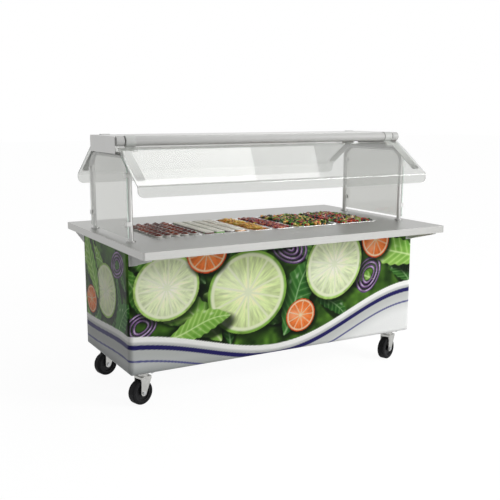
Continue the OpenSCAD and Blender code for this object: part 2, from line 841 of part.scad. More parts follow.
module clear_panel() {
    lip_low = foot_z - (panel_start + panel_l) * sin(panel_a) - panel_lip;
    color("aliceblue", 0.4) difference() {
        along_x(-panel_half, panel_half) panel_section();
        both_ends() translate([panel_half - panel_corner, 0, lip_low + panel_corner])
            rotate([-90, 0, 0]) difference() {
                cube([panel_corner + cut, panel_corner + cut, counter_w / 2]);
                translate([0, 0, -cut]) cylinder(r = panel_corner, h = counter_w);
            }
    }
}

// Arm at the right end: a band round the tube, and a blade under the panel's edge.
module arm() {
    clamp_x = tube_end - clamp_w - 2;
    blade_x = panel_half - arm_w - arm_inset;
    blade_s = panel_start + arm_inset / 2;
    round_r = arm_w / 4;
    difference() {
        union() {
            rod_x(clamp_x, clamp_x + clamp_w, hinge_r + clamp_t, hinge_y, hinge_z);
            under_slope() translate([clamp_x, 0]) square([clamp_w, blade_s + arm_w / 2]);
        }
        rod_x(clamp_x - cut, clamp_x + clamp_w + cut, hinge_r, hinge_y, hinge_z);
    }
    under_slope() translate([blade_x + arm_w / 2, blade_s]) {
        translate([-arm_w / 2, 0]) square([arm_w, arm_l - round_r]);
        translate([-arm_w / 2 + round_r, 0]) square([arm_w - 2 * round_r, arm_l]);
        for (x = [-1, 1]) translate([x * (arm_w / 2 - round_r), arm_l - round_r]) circle(round_r);
    }
}

module arms() { color("dimgray") both_ends() arm(); }

module rear_tube() { hinge_tube(); }
module rear_arms() { arms(); }
module rear_panel() { clear_panel(); }
module front_tube() { mirror([0, 1, 0]) hinge_tube(); }
module front_arms() { mirror([0, 1, 0]) arms(); }
module front_panel() { mirror([0, 1, 0]) clear_panel(); }

// ---------------------------------------------------------------- casters

// Children at a caster's swivel line, turned with the caster.
module at_swivel(c, turned = true) {
    translate([c[0] * swivel_x, c[1] * swivel_y, 0]) rotate([0, 0, turned ? c[2] : 0]) children();
}

// Children about a caster's axle, with the axle along Z.
module at_axle(c) {
    at_swivel(c) translate([-trail, 0, wheel_r]) rotate([-90, 0, 0]) children();
}

module caster_plates() {
    color("gainsboro") difference() {
        for (c = CASTERS) at_swivel(c, false) {
            block(plate_w, plate_w, plate_z, plate_t);
            translate([0, 0, plate_z - race_h]) cylinder(r = race_r, h = race_h + plate_t / 2);
        }
        for (c = CASTERS) at_swivel(c, false) translate([0, 0, plate_z - race_h - cut])
            cylinder(r = kingpin_r + run, h = race_h + plate_t + 2 * cut);
        bolt_holes(bolt_r + fit, plate_z - cut, plate_t + 2 * cut);
    }
}

module caster_bolts() {
    top = frame_z + pad_t;
    color("gray") {
        bolt_holes(bolt_r, plate_z - bolt_head / 2, top + nut_h + 3 - plate_z + bolt_head / 2);
        for (c = CASTERS, x = [-1, 1], y = [-1, 1])
            translate([c[0] * swivel_x + x * bolt_pitch / 2, c[1] * swivel_y + y * bolt_pitch / 2, 0]) {
                translate([0, 0, plate_z - bolt_head]) cylinder(r = nut_r, h = bolt_head, $fn = 6);
                translate([0, 0, top]) cylinder(r = nut_r, h = nut_h, $fn = 6);
            }
    }
}

// Point where the tangent from p touches the circle about c, on the given side.
function tangent(p, c, r, side) =
    let (v = p - c, a = atan2(v[1], v[0]) + side * acos(r / norm(v))) c + r * [cos(a), sin(a)];

// Leg of a fork in the plane of X and Z, with the swivel line at x = 0.
module leg_side() {
    axle = [-trail, wheel_r];
    left = [-leg_top_w / 2 - 2, crown_z + crown_t];
    right = [leg_top_w / 2 - 2, crown_z + crown_t];
    blend_r = leg_end_r - 0.1;
    polygon([left, [left[0], crown_z], tangent([left[0], crown_z], axle, blend_r, 1), axle,
        tangent([right[0], crown_z], axle, blend_r, -1), [right[0], crown_z], right]);
    translate(axle) circle(leg_end_r);
}

module fork(c) {
    color("gainsboro") at_swivel(c) difference() {
        union() {
            for (s = [-1, 1]) translate([0, s * (leg_in + leg_t / 2) + leg_t / 2, 0])
                rotate([90, 0, 0]) linear_extrude(leg_t) leg_side();
            translate([-2, 0, 0]) block(leg_top_w, 2 * (leg_in + leg_t), crown_z, crown_t);
            translate([0, 0, crown_z]) cylinder(r = race_r, h = crown_t + race_h);
            translate([0, 0, crown_z]) cylinder(r = kingpin_r, h = body_z - crown_z - fit);
        }
        translate([-trail, leg_in + leg_t + cut, wheel_r]) rotate([90, 0, 0])
            cylinder(r = axle_r + fit, h = 2 * (leg_in + leg_t + cut));
    }
}

module axle(c) {
    end = leg_in + leg_t;
    head = 6;
    color("gray") at_axle(c) {
        translate([0, 0, -end - head / 2]) cylinder(r = axle_r, h = 2 * end + head);
        for (s = [-1, 1]) translate([0, 0, s > 0 ? end : -end - head])
            cylinder(r = axle_r * 1.7, h = head, $fn = 6);
    }
}

module hub(c) {
    dish = 8;
    boss_r = 17;
    rim = 7;
    color("dimgray") at_axle(c) difference() {
        union() {
            translate([0, 0, -wheel_w / 2 + 2]) cylinder(d = hub_d, h = wheel_w - 4);
            translate([0, 0, -leg_in + fit]) cylinder(r = boss_r, h = 2 * (leg_in - fit));
        }
        for (s = [-1, 1]) translate([0, 0, s > 0 ? wheel_w / 2 - 2 - dish : -wheel_w / 2 + 2 - cut])
            difference() {
                cylinder(r = hub_d / 2 - rim, h = dish + cut);
                translate([0, 0, -cut]) cylinder(r = boss_r, h = dish + 3 * cut);
            }
        translate([0, 0, -leg_in - cut]) cylinder(r = axle_r + run, h = 2 * (leg_in + cut));
    }
}

module tyre(c) {
    half = wheel_w / 2;
    color("black") at_axle(c) rotate_extrude($fn = 96) {
        translate([hub_d / 2, -half]) square([wheel_r - tyre_round - hub_d / 2, wheel_w]);
        translate([wheel_r - tyre_round - cut, -half + tyre_round])
            square([tyre_round + cut, wheel_w - 2 * tyre_round]);
        for (s = [-1, 1]) translate([wheel_r - tyre_round, s * (half - tyre_round)]) circle(tyre_round);
    }
}

body_shell();
base_frame();
floor_panel();
counter_top();
counter_brackets();
well_liner();
well_insulation();
false_bottom();
adapter_bars();
drain_tube();
drain_valve();
valve_lever();
cup_tray();
packet_tray();
carrot_pan();
beetroot_pan();
greens_pan();
pepper_pan();
portion_cups();
dressing_packets();
carrot_food();
beetroot_food();
greens_food();
pepper_food();
hoop(-1);  // left_hoop
hoop(1);  // right_hoop
post_collars();
post_nuts();
left_end_plate();
right_end_plate();
left_end_glass();
right_end_glass();
glass_clips();
top_shelf();
bearing_blocks();
front_tube();
front_arms();
front_panel();
rear_tube();
rear_arms();
rear_panel();
caster_plates();
caster_bolts();
fork(FRONT_LEFT);  // fork_front_left
fork(FRONT_RIGHT);  // fork_front_right
fork(REAR_LEFT);  // fork_rear_left
fork(REAR_RIGHT);  // fork_rear_right
axle(FRONT_LEFT);  // axle_front_left
axle(FRONT_RIGHT);  // axle_front_right
axle(REAR_LEFT);  // axle_rear_left
axle(REAR_RIGHT);  // axle_rear_right
hub(FRONT_LEFT);  // hub_front_left
hub(FRONT_RIGHT);  // hub_front_right
hub(REAR_LEFT);  // hub_rear_left
hub(REAR_RIGHT);  // hub_rear_right
tyre(FRONT_LEFT);  // tyre_front_left
tyre(FRONT_RIGHT);  // tyre_front_right
tyre(REAR_LEFT);  // tyre_rear_left
tyre(REAR_RIGHT);  // tyre_rear_right
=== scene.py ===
"""Looks for a mobile salad bar: finishes, printed wrap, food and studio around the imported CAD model.

Metres, in the CAD frame: X along the counter, Y from the front to the back, Z up from the floor.
"""

import logging
import math
from collections.abc import Sequence
from dataclasses import dataclass, field, replace
from enum import Enum, IntEnum

import bpy
import numpy as np
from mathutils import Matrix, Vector

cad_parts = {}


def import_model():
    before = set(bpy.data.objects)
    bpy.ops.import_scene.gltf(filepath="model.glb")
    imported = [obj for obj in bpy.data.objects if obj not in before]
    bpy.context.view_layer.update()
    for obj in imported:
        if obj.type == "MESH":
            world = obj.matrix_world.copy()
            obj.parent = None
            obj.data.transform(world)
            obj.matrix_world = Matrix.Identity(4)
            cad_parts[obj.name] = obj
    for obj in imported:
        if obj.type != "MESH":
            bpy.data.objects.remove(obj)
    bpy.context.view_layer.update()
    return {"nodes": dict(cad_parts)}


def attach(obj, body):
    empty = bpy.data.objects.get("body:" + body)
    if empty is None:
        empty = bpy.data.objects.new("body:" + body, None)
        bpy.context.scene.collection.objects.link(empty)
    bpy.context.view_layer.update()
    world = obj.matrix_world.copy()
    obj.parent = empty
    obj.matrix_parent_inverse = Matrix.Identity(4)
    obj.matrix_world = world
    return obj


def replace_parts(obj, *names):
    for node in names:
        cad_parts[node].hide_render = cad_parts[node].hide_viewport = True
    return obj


LOG = logging.getLogger("salad_bar")
Array = np.ndarray
Random = np.random.Generator
Material = bpy.types.Material
Socket = bpy.types.NodeSocket
Links = dict[str | int, object]
Pair = tuple[float, float]
Colour = Place = tuple[float, float, float]

BAY_PITCH = 0.308  # from one food bay's middle to the next
BODY_HALF = (0.968, 0.374)  # half of the body's length and of its depth
BODY_LOW, BODY_TOP = 0.190, 0.911  # heights of the body's foot and top
WHITE = (1.0, 1.0, 1.0, 1.0)


# ---- helpers


def linear(srgb: Array | Colour) -> Array:
    """Turns display colours from 0 to 1, red, green and blue on the last axis, into linear light."""
    c = np.asarray(srgb, float)
    return np.where(c <= 0.04045, c / 12.92, ((np.maximum(c, 0) + 0.055) / 1.055) ** 2.4)


def smooth(edge0: float, edge1: float, x: Array) -> Array:
    """Smooth step: 0 at edge0, 1 at edge1, 3t^2 - 2t^3 between them, flat beyond; edge1 may be the lower."""
    t = np.clip((x - edge0) / (edge1 - edge0), 0.0, 1.0)
    return t * t * (3.0 - 2.0 * t)


def value_noise(x: Array, y: Array, seed: int) -> Array:
    """Lattice noise: random values at whole coordinates, blended by a smooth step between them.

    Args:
        x: First coordinate, one unit a cell.
        y: Second coordinate.
        seed: Seed of the lattice.

    Returns:
        Noise from 0 to 1.
    """
    size = 256
    table = np.random.default_rng(seed).random((size, size))
    xi, yi = np.floor(x).astype(int), np.floor(y).astype(int)
    fx, fy = smooth(0, 1, x - xi), smooth(0, 1, y - yi)
    x0, x1, y0, y1 = xi % size, (xi + 1) % size, yi % size, (yi + 1) % size
    low = table[x0, y0] * (1 - fx) + table[x1, y0] * fx
    high = table[x0, y1] * (1 - fx) + table[x1, y1] * fx
    return low * (1 - fy) + high * fy


def grid_faces(rows: int, cols: int, closed: bool = False) -> Array:
    """Four-sided faces of a grid of points numbered row by row.

    Args:
        rows: Number of rows of points.
        cols: Number of columns of points.
        closed: True if the last column joins the first.

    Returns:
        Point numbers, one row of four a face.
    """
    r, c = np.indices((rows - 1, cols if closed else cols - 1)).reshape(2, -1)
    here, after = r * cols + c, r * cols + (c + 1) % cols
    return np.stack([here, after, after + cols, here + cols], axis=1)


def circle(sides: int, start: float = 0.0) -> Array:
    """Points (sides, 2) round the unit circle: (cos a, sin a), from the angle start."""
    a = np.linspace(0, 2 * math.pi, sides, endpoint=False) + start
    return np.stack([np.cos(a), np.sin(a)], axis=1)


def stacked(plan: Array, grow: Array, level: Array) -> Array:
    """Rings (n, m, 3): a plan of m points (x, y), times each of n factors, at each of n heights."""
    flat = plan * grow[:, None, None]
    return np.concatenate([flat, np.broadcast_to(level[:, None, None], (*flat.shape[:2], 1))], axis=2)


def turns_about(axis: int, angles: Array) -> Array:
    """Matrices that turn about one axis.

    Args:
        axis: 0 for X, 1 for Y and 2 for Z.
        angles: An angle in radians for each matrix.

    Returns:
        Matrices (count, 3, 3).
    """
    j, k = (axis + 1) % 3, (axis + 2) % 3
    turns = np.zeros((len(angles), 3, 3))
    turns[:, axis, axis] = 1
    turns[:, j, j] = turns[:, k, k] = np.cos(angles)
    turns[:, k, j] = np.sin(angles)
    turns[:, j, k] = -turns[:, k, j]
    return turns


def random_turns(rng: Random, count: int, tilt: float) -> Array:
    """Matrices (count, 3, 3) that turn by a random heading and then lean by up to tilt, in radians."""
    heading, lean = rng.uniform(0, 2 * math.pi, count), rng.uniform(-tilt, tilt, (2, count))
    return turns_about(0, lean[0]) @ turns_about(1, lean[1]) @ turns_about(2, heading)


# ---- surfaces


@dataclass
class Shape:
    """Points joined by four-sided and three-sided faces, each point with its own tint."""

    verts: Array
    quads: Array
    tris: Array = field(default_factory=lambda: np.zeros((0, 3), int))
    tint: Array | None = None

    @classmethod
    def skin(cls, rings: Array, start: Array, end: Array) -> "Shape":
        """Closed skin over rings of points, with a fan of triangles to a point at each end.

        Args:
            rings: Points (n, m, 3), or (k, n, m, 3) for k shapes, counter-clockwise seen from the end.
            start: Point (3,) or (k, 3) before the first ring.
            end: Point after the last ring.

        Returns:
            The shape. Its points are (count, 3), or (k, count, 3) for k shapes.
        """
        n, m = rings.shape[-3:-1]
        poles = np.stack([start, end], axis=-2)
        verts = np.concatenate([rings.reshape(*rings.shape[:-3], n * m, 3), poles], axis=-2)
        here, after = np.arange(m), (np.arange(m) + 1) % m
        tip, last = np.full(m, n * m), (n - 1) * m
        fans = ([tip, after, here], [tip + 1, last + here, last + after])
        tris = np.concatenate([np.stack(fan, axis=1) for fan in fans])
        return cls(verts, grid_faces(n, m, closed=True), tris)

    @classmethod
    def lathe(cls, profile: Sequence[Pair], sides: int) -> "Shape":
        """Surface of revolution about Z: profile points (r, z) are rings, and the first and the last are poles.

        Args:
            profile: Points (r, z), going up the outside, with r 0 at both ends.
            sides: Number of steps round the axis.

        Returns:
            The shape.
        """
        r, z = np.array(profile).T
        tips = (np.array([0, 0, end]) for end in (z[0], z[-1]))
        return cls.skin(stacked(circle(sides), r[1:-1], z[1:-1]), *tips)

    @classmethod
    def joined(cls, shapes: list["Shape"]) -> "Shape":
        """Puts several tinted shapes into one.

        Args:
            shapes: The shapes.

        Returns:
            One shape.
        """
        starts = np.cumsum([0] + [len(s.verts) for s in shapes])
        rows = [(s.verts, s.quads + k, s.tris + k, s.tint) for s, k in zip(shapes, starts)]
        return cls(*(np.concatenate(parts) for parts in zip(*rows)))

    def copies(self, turns: Array, places: Array, sizes: Array | float = 1.0,
               tints: Array | None = None) -> "Shape":
        """Copies the shape: each copy is sized, turned by a matrix and moved to a place.

        Args:
            turns: Matrices (k, 3, 3).
            places: Places (k, 3).
            sizes: One factor, or (k, 1) for one a copy, or (k, 3) for one an axis.
            tints: Linear colour of each copy, (k, 3).

        Returns:
            All the copies as one shape.
        """
        k, n = len(places), self.verts.shape[-2]
        sized = self.verts * np.broadcast_to(sizes, (k, 3))[:, None]
        placed = np.einsum("kij,knj->kni", turns, sized) + places[:, None]
        steps = (np.arange(k) * n)[:, None, None]
        tint = None if tints is None else np.repeat(tints, n, axis=0)
        return Shape(placed.reshape(-1, 3), (self.quads + steps).reshape(-1, 4),
                     (self.tris + steps).reshape(-1, 3), tint)

    def tinted(self, tint: Array) -> "Shape":
        """Returns the shape with one linear colour, or with one for each point."""
        return replace(self, tint=np.broadcast_to(tint, self.verts.shape))

    def piece(self, name: str, body: str, slot: str, finish: Material) -> bpy.types.Object:
        """Makes the shape a smooth piece at the origin that rides on a body.

        Args:
            name: Name of the piece.
            body: Body that it moves with.
            slot: The record's material slot; not used.
            finish: Its material.

        Returns:
            The object.
        """
        mesh = bpy.data.meshes.new(name)
        mesh.from_pydata(self.verts.tolist(), [], self.quads.tolist() + self.tris.tolist())
        mesh.polygons.foreach_set("use_smooth", np.ones(len(mesh.polygons), bool))
        if self.tint is not None:
            layer = mesh.color_attributes.new("tint", "FLOAT_COLOR", "POINT")
            rgba = np.concatenate([self.tint, np.ones((len(self.tint), 1))], axis=1)
            layer.data.foreach_set("color", rgba.astype(np.float32).ravel())
        mesh.materials.append(finish)
        mesh.update()
        piece = bpy.data.objects.new(name, mesh)
        bpy.context.scene.collection.objects.link(piece)
        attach(piece, body)
        LOG.info("%s: %d faces", name, len(mesh.polygons))
        return piece


# ---- finishes


class Nodes:
    """A node tree being put together."""

    def __init__(self, tree: bpy.types.NodeTree) -> None:
        """Takes the tree that the nodes go into."""
        self.tree = tree

    def add(self, kind: str, links: Links | None = None, **settings: object) -> bpy.types.Node:
        """Adds a node.

        Args:
            kind: Blender's name of the node type.
            links: For each input, a value or the socket that feeds it.
            settings: Properties of the node.

        Returns:
            The node.
        """
        node = self.tree.nodes.new(kind)
        for key, value in settings.items():
            setattr(node, key, value)
        self.feed(node, links or {})
        return node

    def out(self, kind: str, links: Links | None = None, **settings: object) -> Socket:
        """Adds a node as add does, and returns its first output."""
        return self.add(kind, links, **settings).outputs[0]

    def feed(self, node: bpy.types.Node, links: Links) -> None:
        """Gives inputs of a node their values, or links them to the sockets that feed them.

        Args:
            node: The node.
            links: For each input, a value or the socket that feeds it.
        """
        for key, value in links.items():
            if isinstance(value, Socket):
                self.tree.links.new(value, node.inputs[key])
            else:
                node.inputs[key].default_value = value

    def seen(self) -> Socket:
        """Finds the rays that see the surroundings: camera, glossy and transmission rays.

        Returns:
            A socket that is 1 for them and 0 for the rest.
        """
        path = self.add("ShaderNodeLightPath").outputs
        value = path["Is Camera Ray"]
        for kind in ("Is Glossy Ray", "Is Transmission Ray"):
            value = self.out("ShaderNodeMath", {0: value, 1: path[kind]}, operation="MAXIMUM")
        return value


class Shader(Nodes):
    """A node material being put together round one Principled shader."""

    NOISE = (0.3, 0.7)
    """The span that most of Blender's noise lies in."""

    def __init__(self, name: str) -> None:
        """Starts a material with a plain Principled shader.

        Args:
            name: Name of the material.
        """
        self.material = bpy.data.materials.new(name)
        self.material.use_nodes = True
        super().__init__(self.material.node_tree)
        self.principled = self.tree.nodes["Principled BSDF"]
        self.coords = self.add("ShaderNodeTexCoord").outputs

    def show(self, surface: Socket) -> None:
        """Makes a shader the material's surface."""
        self.feed(self.tree.nodes["Material Output"], {"Surface": surface})

    def noise(self, scale: float, detail: float = 3.0, stretch: Place = (1.0, 1.0, 1.0)) -> Socket:
        """Noise from 0 to 1 on the piece's own coordinates: cells a metre, octaves, factors along the axes."""
        mapped = self.out("ShaderNodeMapping", {"Vector": self.coords["Object"], "Scale": stretch})
        return self.out("ShaderNodeTexNoise", {"Vector": mapped, "Scale": scale, "Detail": detail})

    def mixed(self, share: float, fine: Socket, broad: Socket) -> Socket:
        """Returns a mix of two noises, of which share is the broad one."""
        return self.out("ShaderNodeMix", {0: share, 2: fine, 3: broad})

    def band(self, value: Socket, low: float, high: float) -> Socket:
        """Maps noise onto a range.

        Args:
            value: Socket with the noise.
            low: Value where it is low.
            high: Value where it is high.

        Returns:
            The value's socket.
        """
        least, most = self.NOISE
        return self.out("ShaderNodeMapRange", {"Value": value, "From Min": least, "From Max": most,
                                               "To Min": low, "To Max": high})

    def tone(self, value: Socket, dark: Colour, light: Colour) -> Socket:
        """Maps noise onto a linear colour.

        Args:
            value: Socket with the noise.
            dark: Linear colour where it is low.
            light: Linear colour where it is high.

        Returns:
            The colour's socket.
        """
        ramp = self.add("ShaderNodeValToRGB", {"Fac": value})
        for element, position, colour in zip(ramp.color_ramp.elements, self.NOISE, (dark, light)):
            element.position, element.color = position, (*colour, 1.0)
        return ramp.outputs[0]

    def bump(self, height: Socket, distance: float, edge: float = 0.0) -> None:
        """Raises the surface by a height, and softens sharp edges by a small radius.

        Args:
            height: Socket with the height, from 0 to 1.
            distance: Metres that a height of 1 stands for.
            edge: Radius of the softened edges in metres.
        """
        node = self.add("ShaderNodeBump", {"Height": height, "Distance": distance, "Strength": 0.6})
        if edge:
            self.feed(node, {"Normal": self.out("ShaderNodeBevel", {"Radius": edge}, samples=4)})
        self.feed(self.principled, {"Normal": node.outputs[0]})


class Grain(Enum):
    """Direction of a brushed finish, as the factor on the noise scale along X, Y and Z."""

    ALONG_X = (0.02, 1.0, 1.0)
    ALONG_Y = (1.0, 0.02, 1.0)
    ALONG_Z = (1.0, 1.0, 0.03)
    NONE = (1.0, 1.0, 1.0)


@dataclass(frozen=True)
class Metal:
    """A bare metal: brushed streaks, faint smears and softened edges."""

    name: str
    dark: Colour
    light: Colour
    roughness: Pair = (0.28, 0.42)
    grain: Grain = Grain.ALONG_X
    scale: float = 420.0
    metallic: float = 1.0
    edge: float = 0.0012
    depth: float = 0.00006
    smears: float = 6.0

    def material(self) -> Material:
        """Makes the material.

        Returns:
            The material.
        """
        s = Shader(self.name)
        streaks = s.noise(self.scale, 4.0, self.grain.value)
        both = s.mixed(0.35, streaks, s.noise(self.smears))
        s.feed(s.principled, {"Base Color": s.tone(both, self.dark, self.light),
                              "Roughness": s.band(both, *self.roughness), "Metallic": self.metallic})
        s.bump(streaks, self.depth, self.edge)
        return s.material


@dataclass(frozen=True)
class Paint:
    """Paint, powder coat, moulded plastic, foam or rubber: a fine texture and faint soiling."""

    name: str
    dark: Colour
    light: Colour
    roughness: Pair = (0.40, 0.52)
    scale: float = 260.0
    depth: float = 0.00012
    coat: float = 0.0
    edge: float = 0.001
    gloss: float = 0.5
    soiling: float = 9.0

    def material(self) -> Material:
        """Makes the material.

        Returns:
            The material.
        """
        s = Shader(self.name)
        fine, broad = s.noise(self.scale, 2.0), s.noise(self.soiling)
        s.feed(s.principled, {"Base Color": s.tone(s.mixed(0.6, fine, broad), self.dark, self.light),
                              "Roughness": s.band(broad, *self.roughness),
                              "Coat Weight": self.coat, "Specular IOR Level": self.gloss})
        s.bump(fine, self.depth, self.edge)
        return s.material


@dataclass(frozen=True)
class Clear:
    """Clear sheet with a slight tint, faint smears and light let through to what is behind it.

    The tint and the clearness are those of the faces that look along X and of the others, so that a
    sheet's sawn edges can be milky. A face counts as the one or the other by the size of its normal's
    X, below or above the turn.
    """

    name: str
    facing_x: Colour
    other: Colour
    shade: Colour
    clarity_x: float = 0.90
    clarity_other: float = 0.90
    roughness: Pair = (0.01, 0.05)
    turn: Pair = (0.3, 0.6)
    index: float = 1.45
    smears: float = 5.0

    def material(self) -> Material:
        """Makes the material.

        Returns:
            The material.
        """
        s = Shader(self.name)
        x = s.out("ShaderNodeSeparateXYZ", {0: s.coords["Normal"]})
        along = s.out("ShaderNodeMath", {0: x}, operation="ABSOLUTE")
        low, high = self.turn
        side = s.out("ShaderNodeMapRange", {"Value": along, "From Min": low, "From Max": high})
        tints = {0: side, 6: (*self.other, 1.0), 7: (*self.facing_x, 1.0)}
        clearness = self.clarity_x
        if clearness != self.clarity_other:
            levels = {"Value": side, "To Min": self.clarity_other, "To Max": self.clarity_x}
            clearness = s.out("ShaderNodeMapRange", levels)
        s.feed(s.principled, {"Base Color": s.add("ShaderNodeMix", tints, data_type="RGBA").outputs[2],
                              "Transmission Weight": clearness, "IOR": self.index,
                              "Roughness": s.band(s.noise(self.smears), *self.roughness)})
        shadows = s.add("ShaderNodeLightPath").outputs["Is Shadow Ray"]
        through = s.out("ShaderNodeBsdfTransparent", {"Color": (*self.shade, 1.0)})
        s.show(s.out("ShaderNodeMixShader", {0: shadows, 1: s.principled.outputs[0], 2: through}))
        return s.material


@dataclass(frozen=True)
class Tinted:
    """A surface whose colour comes from the piece's own tint attribute, with a fine mottle."""

    name: str
    roughness: Pair = (0.25, 0.45)
    mottle: float = 0.12
    scale: float = 160.0
    depth: float = 0.0004
    coat: float = 0.0
    subsurface: float = 0.0
    gloss: float = 0.5
    reach: float = 0.003

    def material(self) -> Material:
        """Makes the material.

        Returns:
            The material.
        """
        s = Shader(self.name)
        tint = s.out("ShaderNodeVertexColor", layer_name="tint")
        fine = s.noise(self.scale)
        shade = s.band(fine, 1.0 - self.mottle, 1.0 + self.mottle)
        s.feed(s.principled, {
            "Base Color": s.out("ShaderNodeVectorMath", {0: tint, 1: shade}, operation="MULTIPLY"),
            "Roughness": s.band(fine, *self.roughness), "Coat Weight": self.coat,
            "Subsurface Weight": self.subsurface, "Subsurface Scale": self.reach,
            "Specular IOR Level": self.gloss})
        s.bump(fine, self.depth)
        return s.material


# ---- printed wrap


class Side(IntEnum):
    """The body's four walls, in the order that the wrap goes round. The long ones are even."""

    FRONT = 0
    RIGHT = 1
    BACK = 2
    LEFT = 3


@dataclass
class Print:
    """Ink on a flat sheet: points with coordinates along the wall and up, and their colours."""

    s: Array
    z: Array
    ink: Array = field(init=False)

    def __post_init__(self) -> None:
        """Starts from bare film."""
        self.ink = np.ones((len(self.s), 3))

    def lay(self, colour: Array, cover: Array, where: Array | slice = slice(None)) -> None:
        """Lays a colour over the ink of some points, covering it by 0 to 1 at each."""
        c = np.clip(cover, 0, 1)[:, None]
        self.ink[where] = self.ink[where] * (1 - c) + np.asarray(colour) * c

    def local(self, at: Pair, angle: float, size: float, half: float,
              reach: float) -> tuple[Array, Array, Array]:
        """Points near a motif, in its own turned coordinates, which are 1 at its ends and sides.

        Args:
            at: Place of the motif's middle.
            angle: Its turn in degrees.
            size: Half its length.
            half: Half its width.
            reach: Share of its half-length beyond which points are left out.

        Returns:
            The points' numbers and their two coordinates.
        """
        dx, dz = self.s - at[0], self.z - at[1]
        near = np.flatnonzero(dx * dx + dz * dz < (size * reach) ** 2)
        c, s = math.cos(math.radians(angle)), math.sin(math.radians(angle))
        return near, (dx[near] * c + dz[near] * s) / size, (dz[near] * c - dx[near] * s) / half

    def shadow(self, at: Pair, angle: float, size: float, half: float) -> None:
        """Darkens an ellipse of that half-length and half-width, a little below and right of a motif."""
        near, u, v = self.local((at[0] + 0.012, at[1] - 0.016), angle, size, half, 1.4)
        self.lay((0.02, 0.05, 0.02), 0.75 * smooth(1.22, 0.9, np.hypot(u, v)), near)

    def leaf(self, at: Pair, angle: float, size: float, dark: Colour, light: Colour,
             width: float = 0.36) -> None:
        """A leaf: half-width w(u) = width * sin(pi t)^0.8 with a wavy edge, a midrib and side veins.

        Args:
            at: Place of the leaf's middle.
            angle: Turn of its midrib in degrees.
            size: Half its length in metres.
            dark: Colour near the edge.
            light: Colour of the ribs.
            width: Half-width as a share of half the length.
        """
        self.shadow(at, angle, size, size * width)
        near, u, v = self.local(at, angle, size, size, 1.1)
        v = v - 0.12 * np.sin(u * 2.2 + 0.4)
        t = np.clip((u + 1) / 2, 0, 1)
        half = width * np.sin(math.pi * t) ** 0.8 * (1 + 0.06 * np.sin(u * 26 + 4 * np.sign(v)))
        inside = smooth(0.0, -0.02, np.abs(v) - half) * (np.abs(u) < 1)
        rib = np.exp(-((v / (0.012 + 0.014 * (1 - t))) ** 2))
        side = np.abs(((u * 5.5 - np.abs(v) * 4.2) % 1.0) - 0.5)
        veins = smooth(0.10, 0.03, side) * smooth(0.0, 0.05, np.abs(v))
        lobes = 0.5 + 0.5 * np.cos(side * 2 * math.pi)
        tone = 0.30 + 0.35 * lobes + 0.25 * (v / max(width, 0.01)) + 0.25 * value_noise(u * 9, v * 9, 5)
        colour = np.asarray(dark) + (np.asarray(light) - dark) * np.clip(tone, 0, 1)[:, None] * 0.7
        self.lay(colour, inside, near)
        self.lay(np.asarray(light) * 0.6 + 0.4, inside * (0.85 * rib + 0.35 * veins), near)
        gloss = smooth(0.75, 1.0, value_noise(u * 5 + 3, v * 7, 11)) * 0.5
        self.lay((1, 1, 0.95), inside * gloss, near)

    def wheel(self, at: Pair, size: float, rind: Colour, flesh: Colour, cells: int,
              squash: float = 0.93, angle: float = 20.0) -> None:
        """A cut fruit: rind, pith and wedge cells, as bands of the distance from its middle.

        Args:
            at: Place of its middle.
            size: Its radius in metres.
            rind: Colour of the rind.
            flesh: Colour of the cells.
            cells: Number of wedges.
            squash: Short radius over long radius.
            angle: Turn of its long axis in degrees.
        """
        self.shadow(at, angle, size, size * squash)
        near, u, v = self.local(at, angle, size, size * squash, 1.05)
        d, a = np.hypot(u, v), np.arctan2(v, u)
        inside = smooth(1.0, 0.985, d)
        wall = np.abs(((a * cells / (2 * math.pi)) % 1.0) - 0.5) * 2 * math.pi * d / cells
        cell = smooth(0.012, 0.035, (math.pi * d / cells) - wall)
        cell = cell * smooth(0.86, 0.82, d) * smooth(0.06, 0.12, d)
        pulp = value_noise(a * 14, d * 3.5, 3) * 0.6 + value_noise(a * 40, d * 9, 4) * 0.4
        pith = np.asarray(flesh) * 0.25 + np.array([0.95, 0.97, 0.86]) * 0.75
        self.lay(np.asarray(rind) * (0.8 + 0.4 * value_noise(a * 9, d * 9, 8))[:, None], inside, near)
        self.lay(pith, inside * smooth(0.955, 0.90, d), near)
        tint = np.asarray(flesh) * (0.80 + 0.32 * pulp)[:, None]
        self.lay(np.clip(tint + 0.25 * (1 - d[:, None]) ** 2, 0, 1), inside * cell, near)
        shine = smooth(0.9, 0.2, np.hypot(u + 0.35, v - 0.45) / 0.6)
        self.lay((1, 1, 1), inside * shine * 0.22, near)

    def ring(self, at: Pair, size: float, skin: Colour, angle: float, rings: int = 3) -> None:
        """Onion rings: thin bands at steps of the distance from the middle, pale between dark edges.

        Args:
            at: Place of the middle.
            size: Outer radius in metres.
            skin: Colour of the rings' edges.
            angle: Turn of the long axis in degrees.
            rings: Number of rings.
        """
        near, u, v = self.local(at, angle, size, size * 0.72, 1.1)
        d = np.hypot(u, v) + 0.02 * np.sin(3 * np.arctan2(v, u))
        for k in range(rings):
            mid = 0.93 - 0.24 * k
            band = smooth(0.085, 0.06, np.abs(d - mid))
            self.lay((0.03, 0.04, 0.03), smooth(0.14, 0.07, np.abs(d - mid + 0.03)) * 0.5, near)
            pale = np.array([0.86, 0.78, 0.90]) * (0.8 + 0.2 * np.sin(8 * v + k))[:, None]
            self.lay(pale, band, near)
            self.lay(skin, band * smooth(0.015, 0.045, d - mid + 0.01), near)
            self.lay(np.asarray(skin) * 0.8, band * smooth(-0.035, -0.06, d - mid), near)


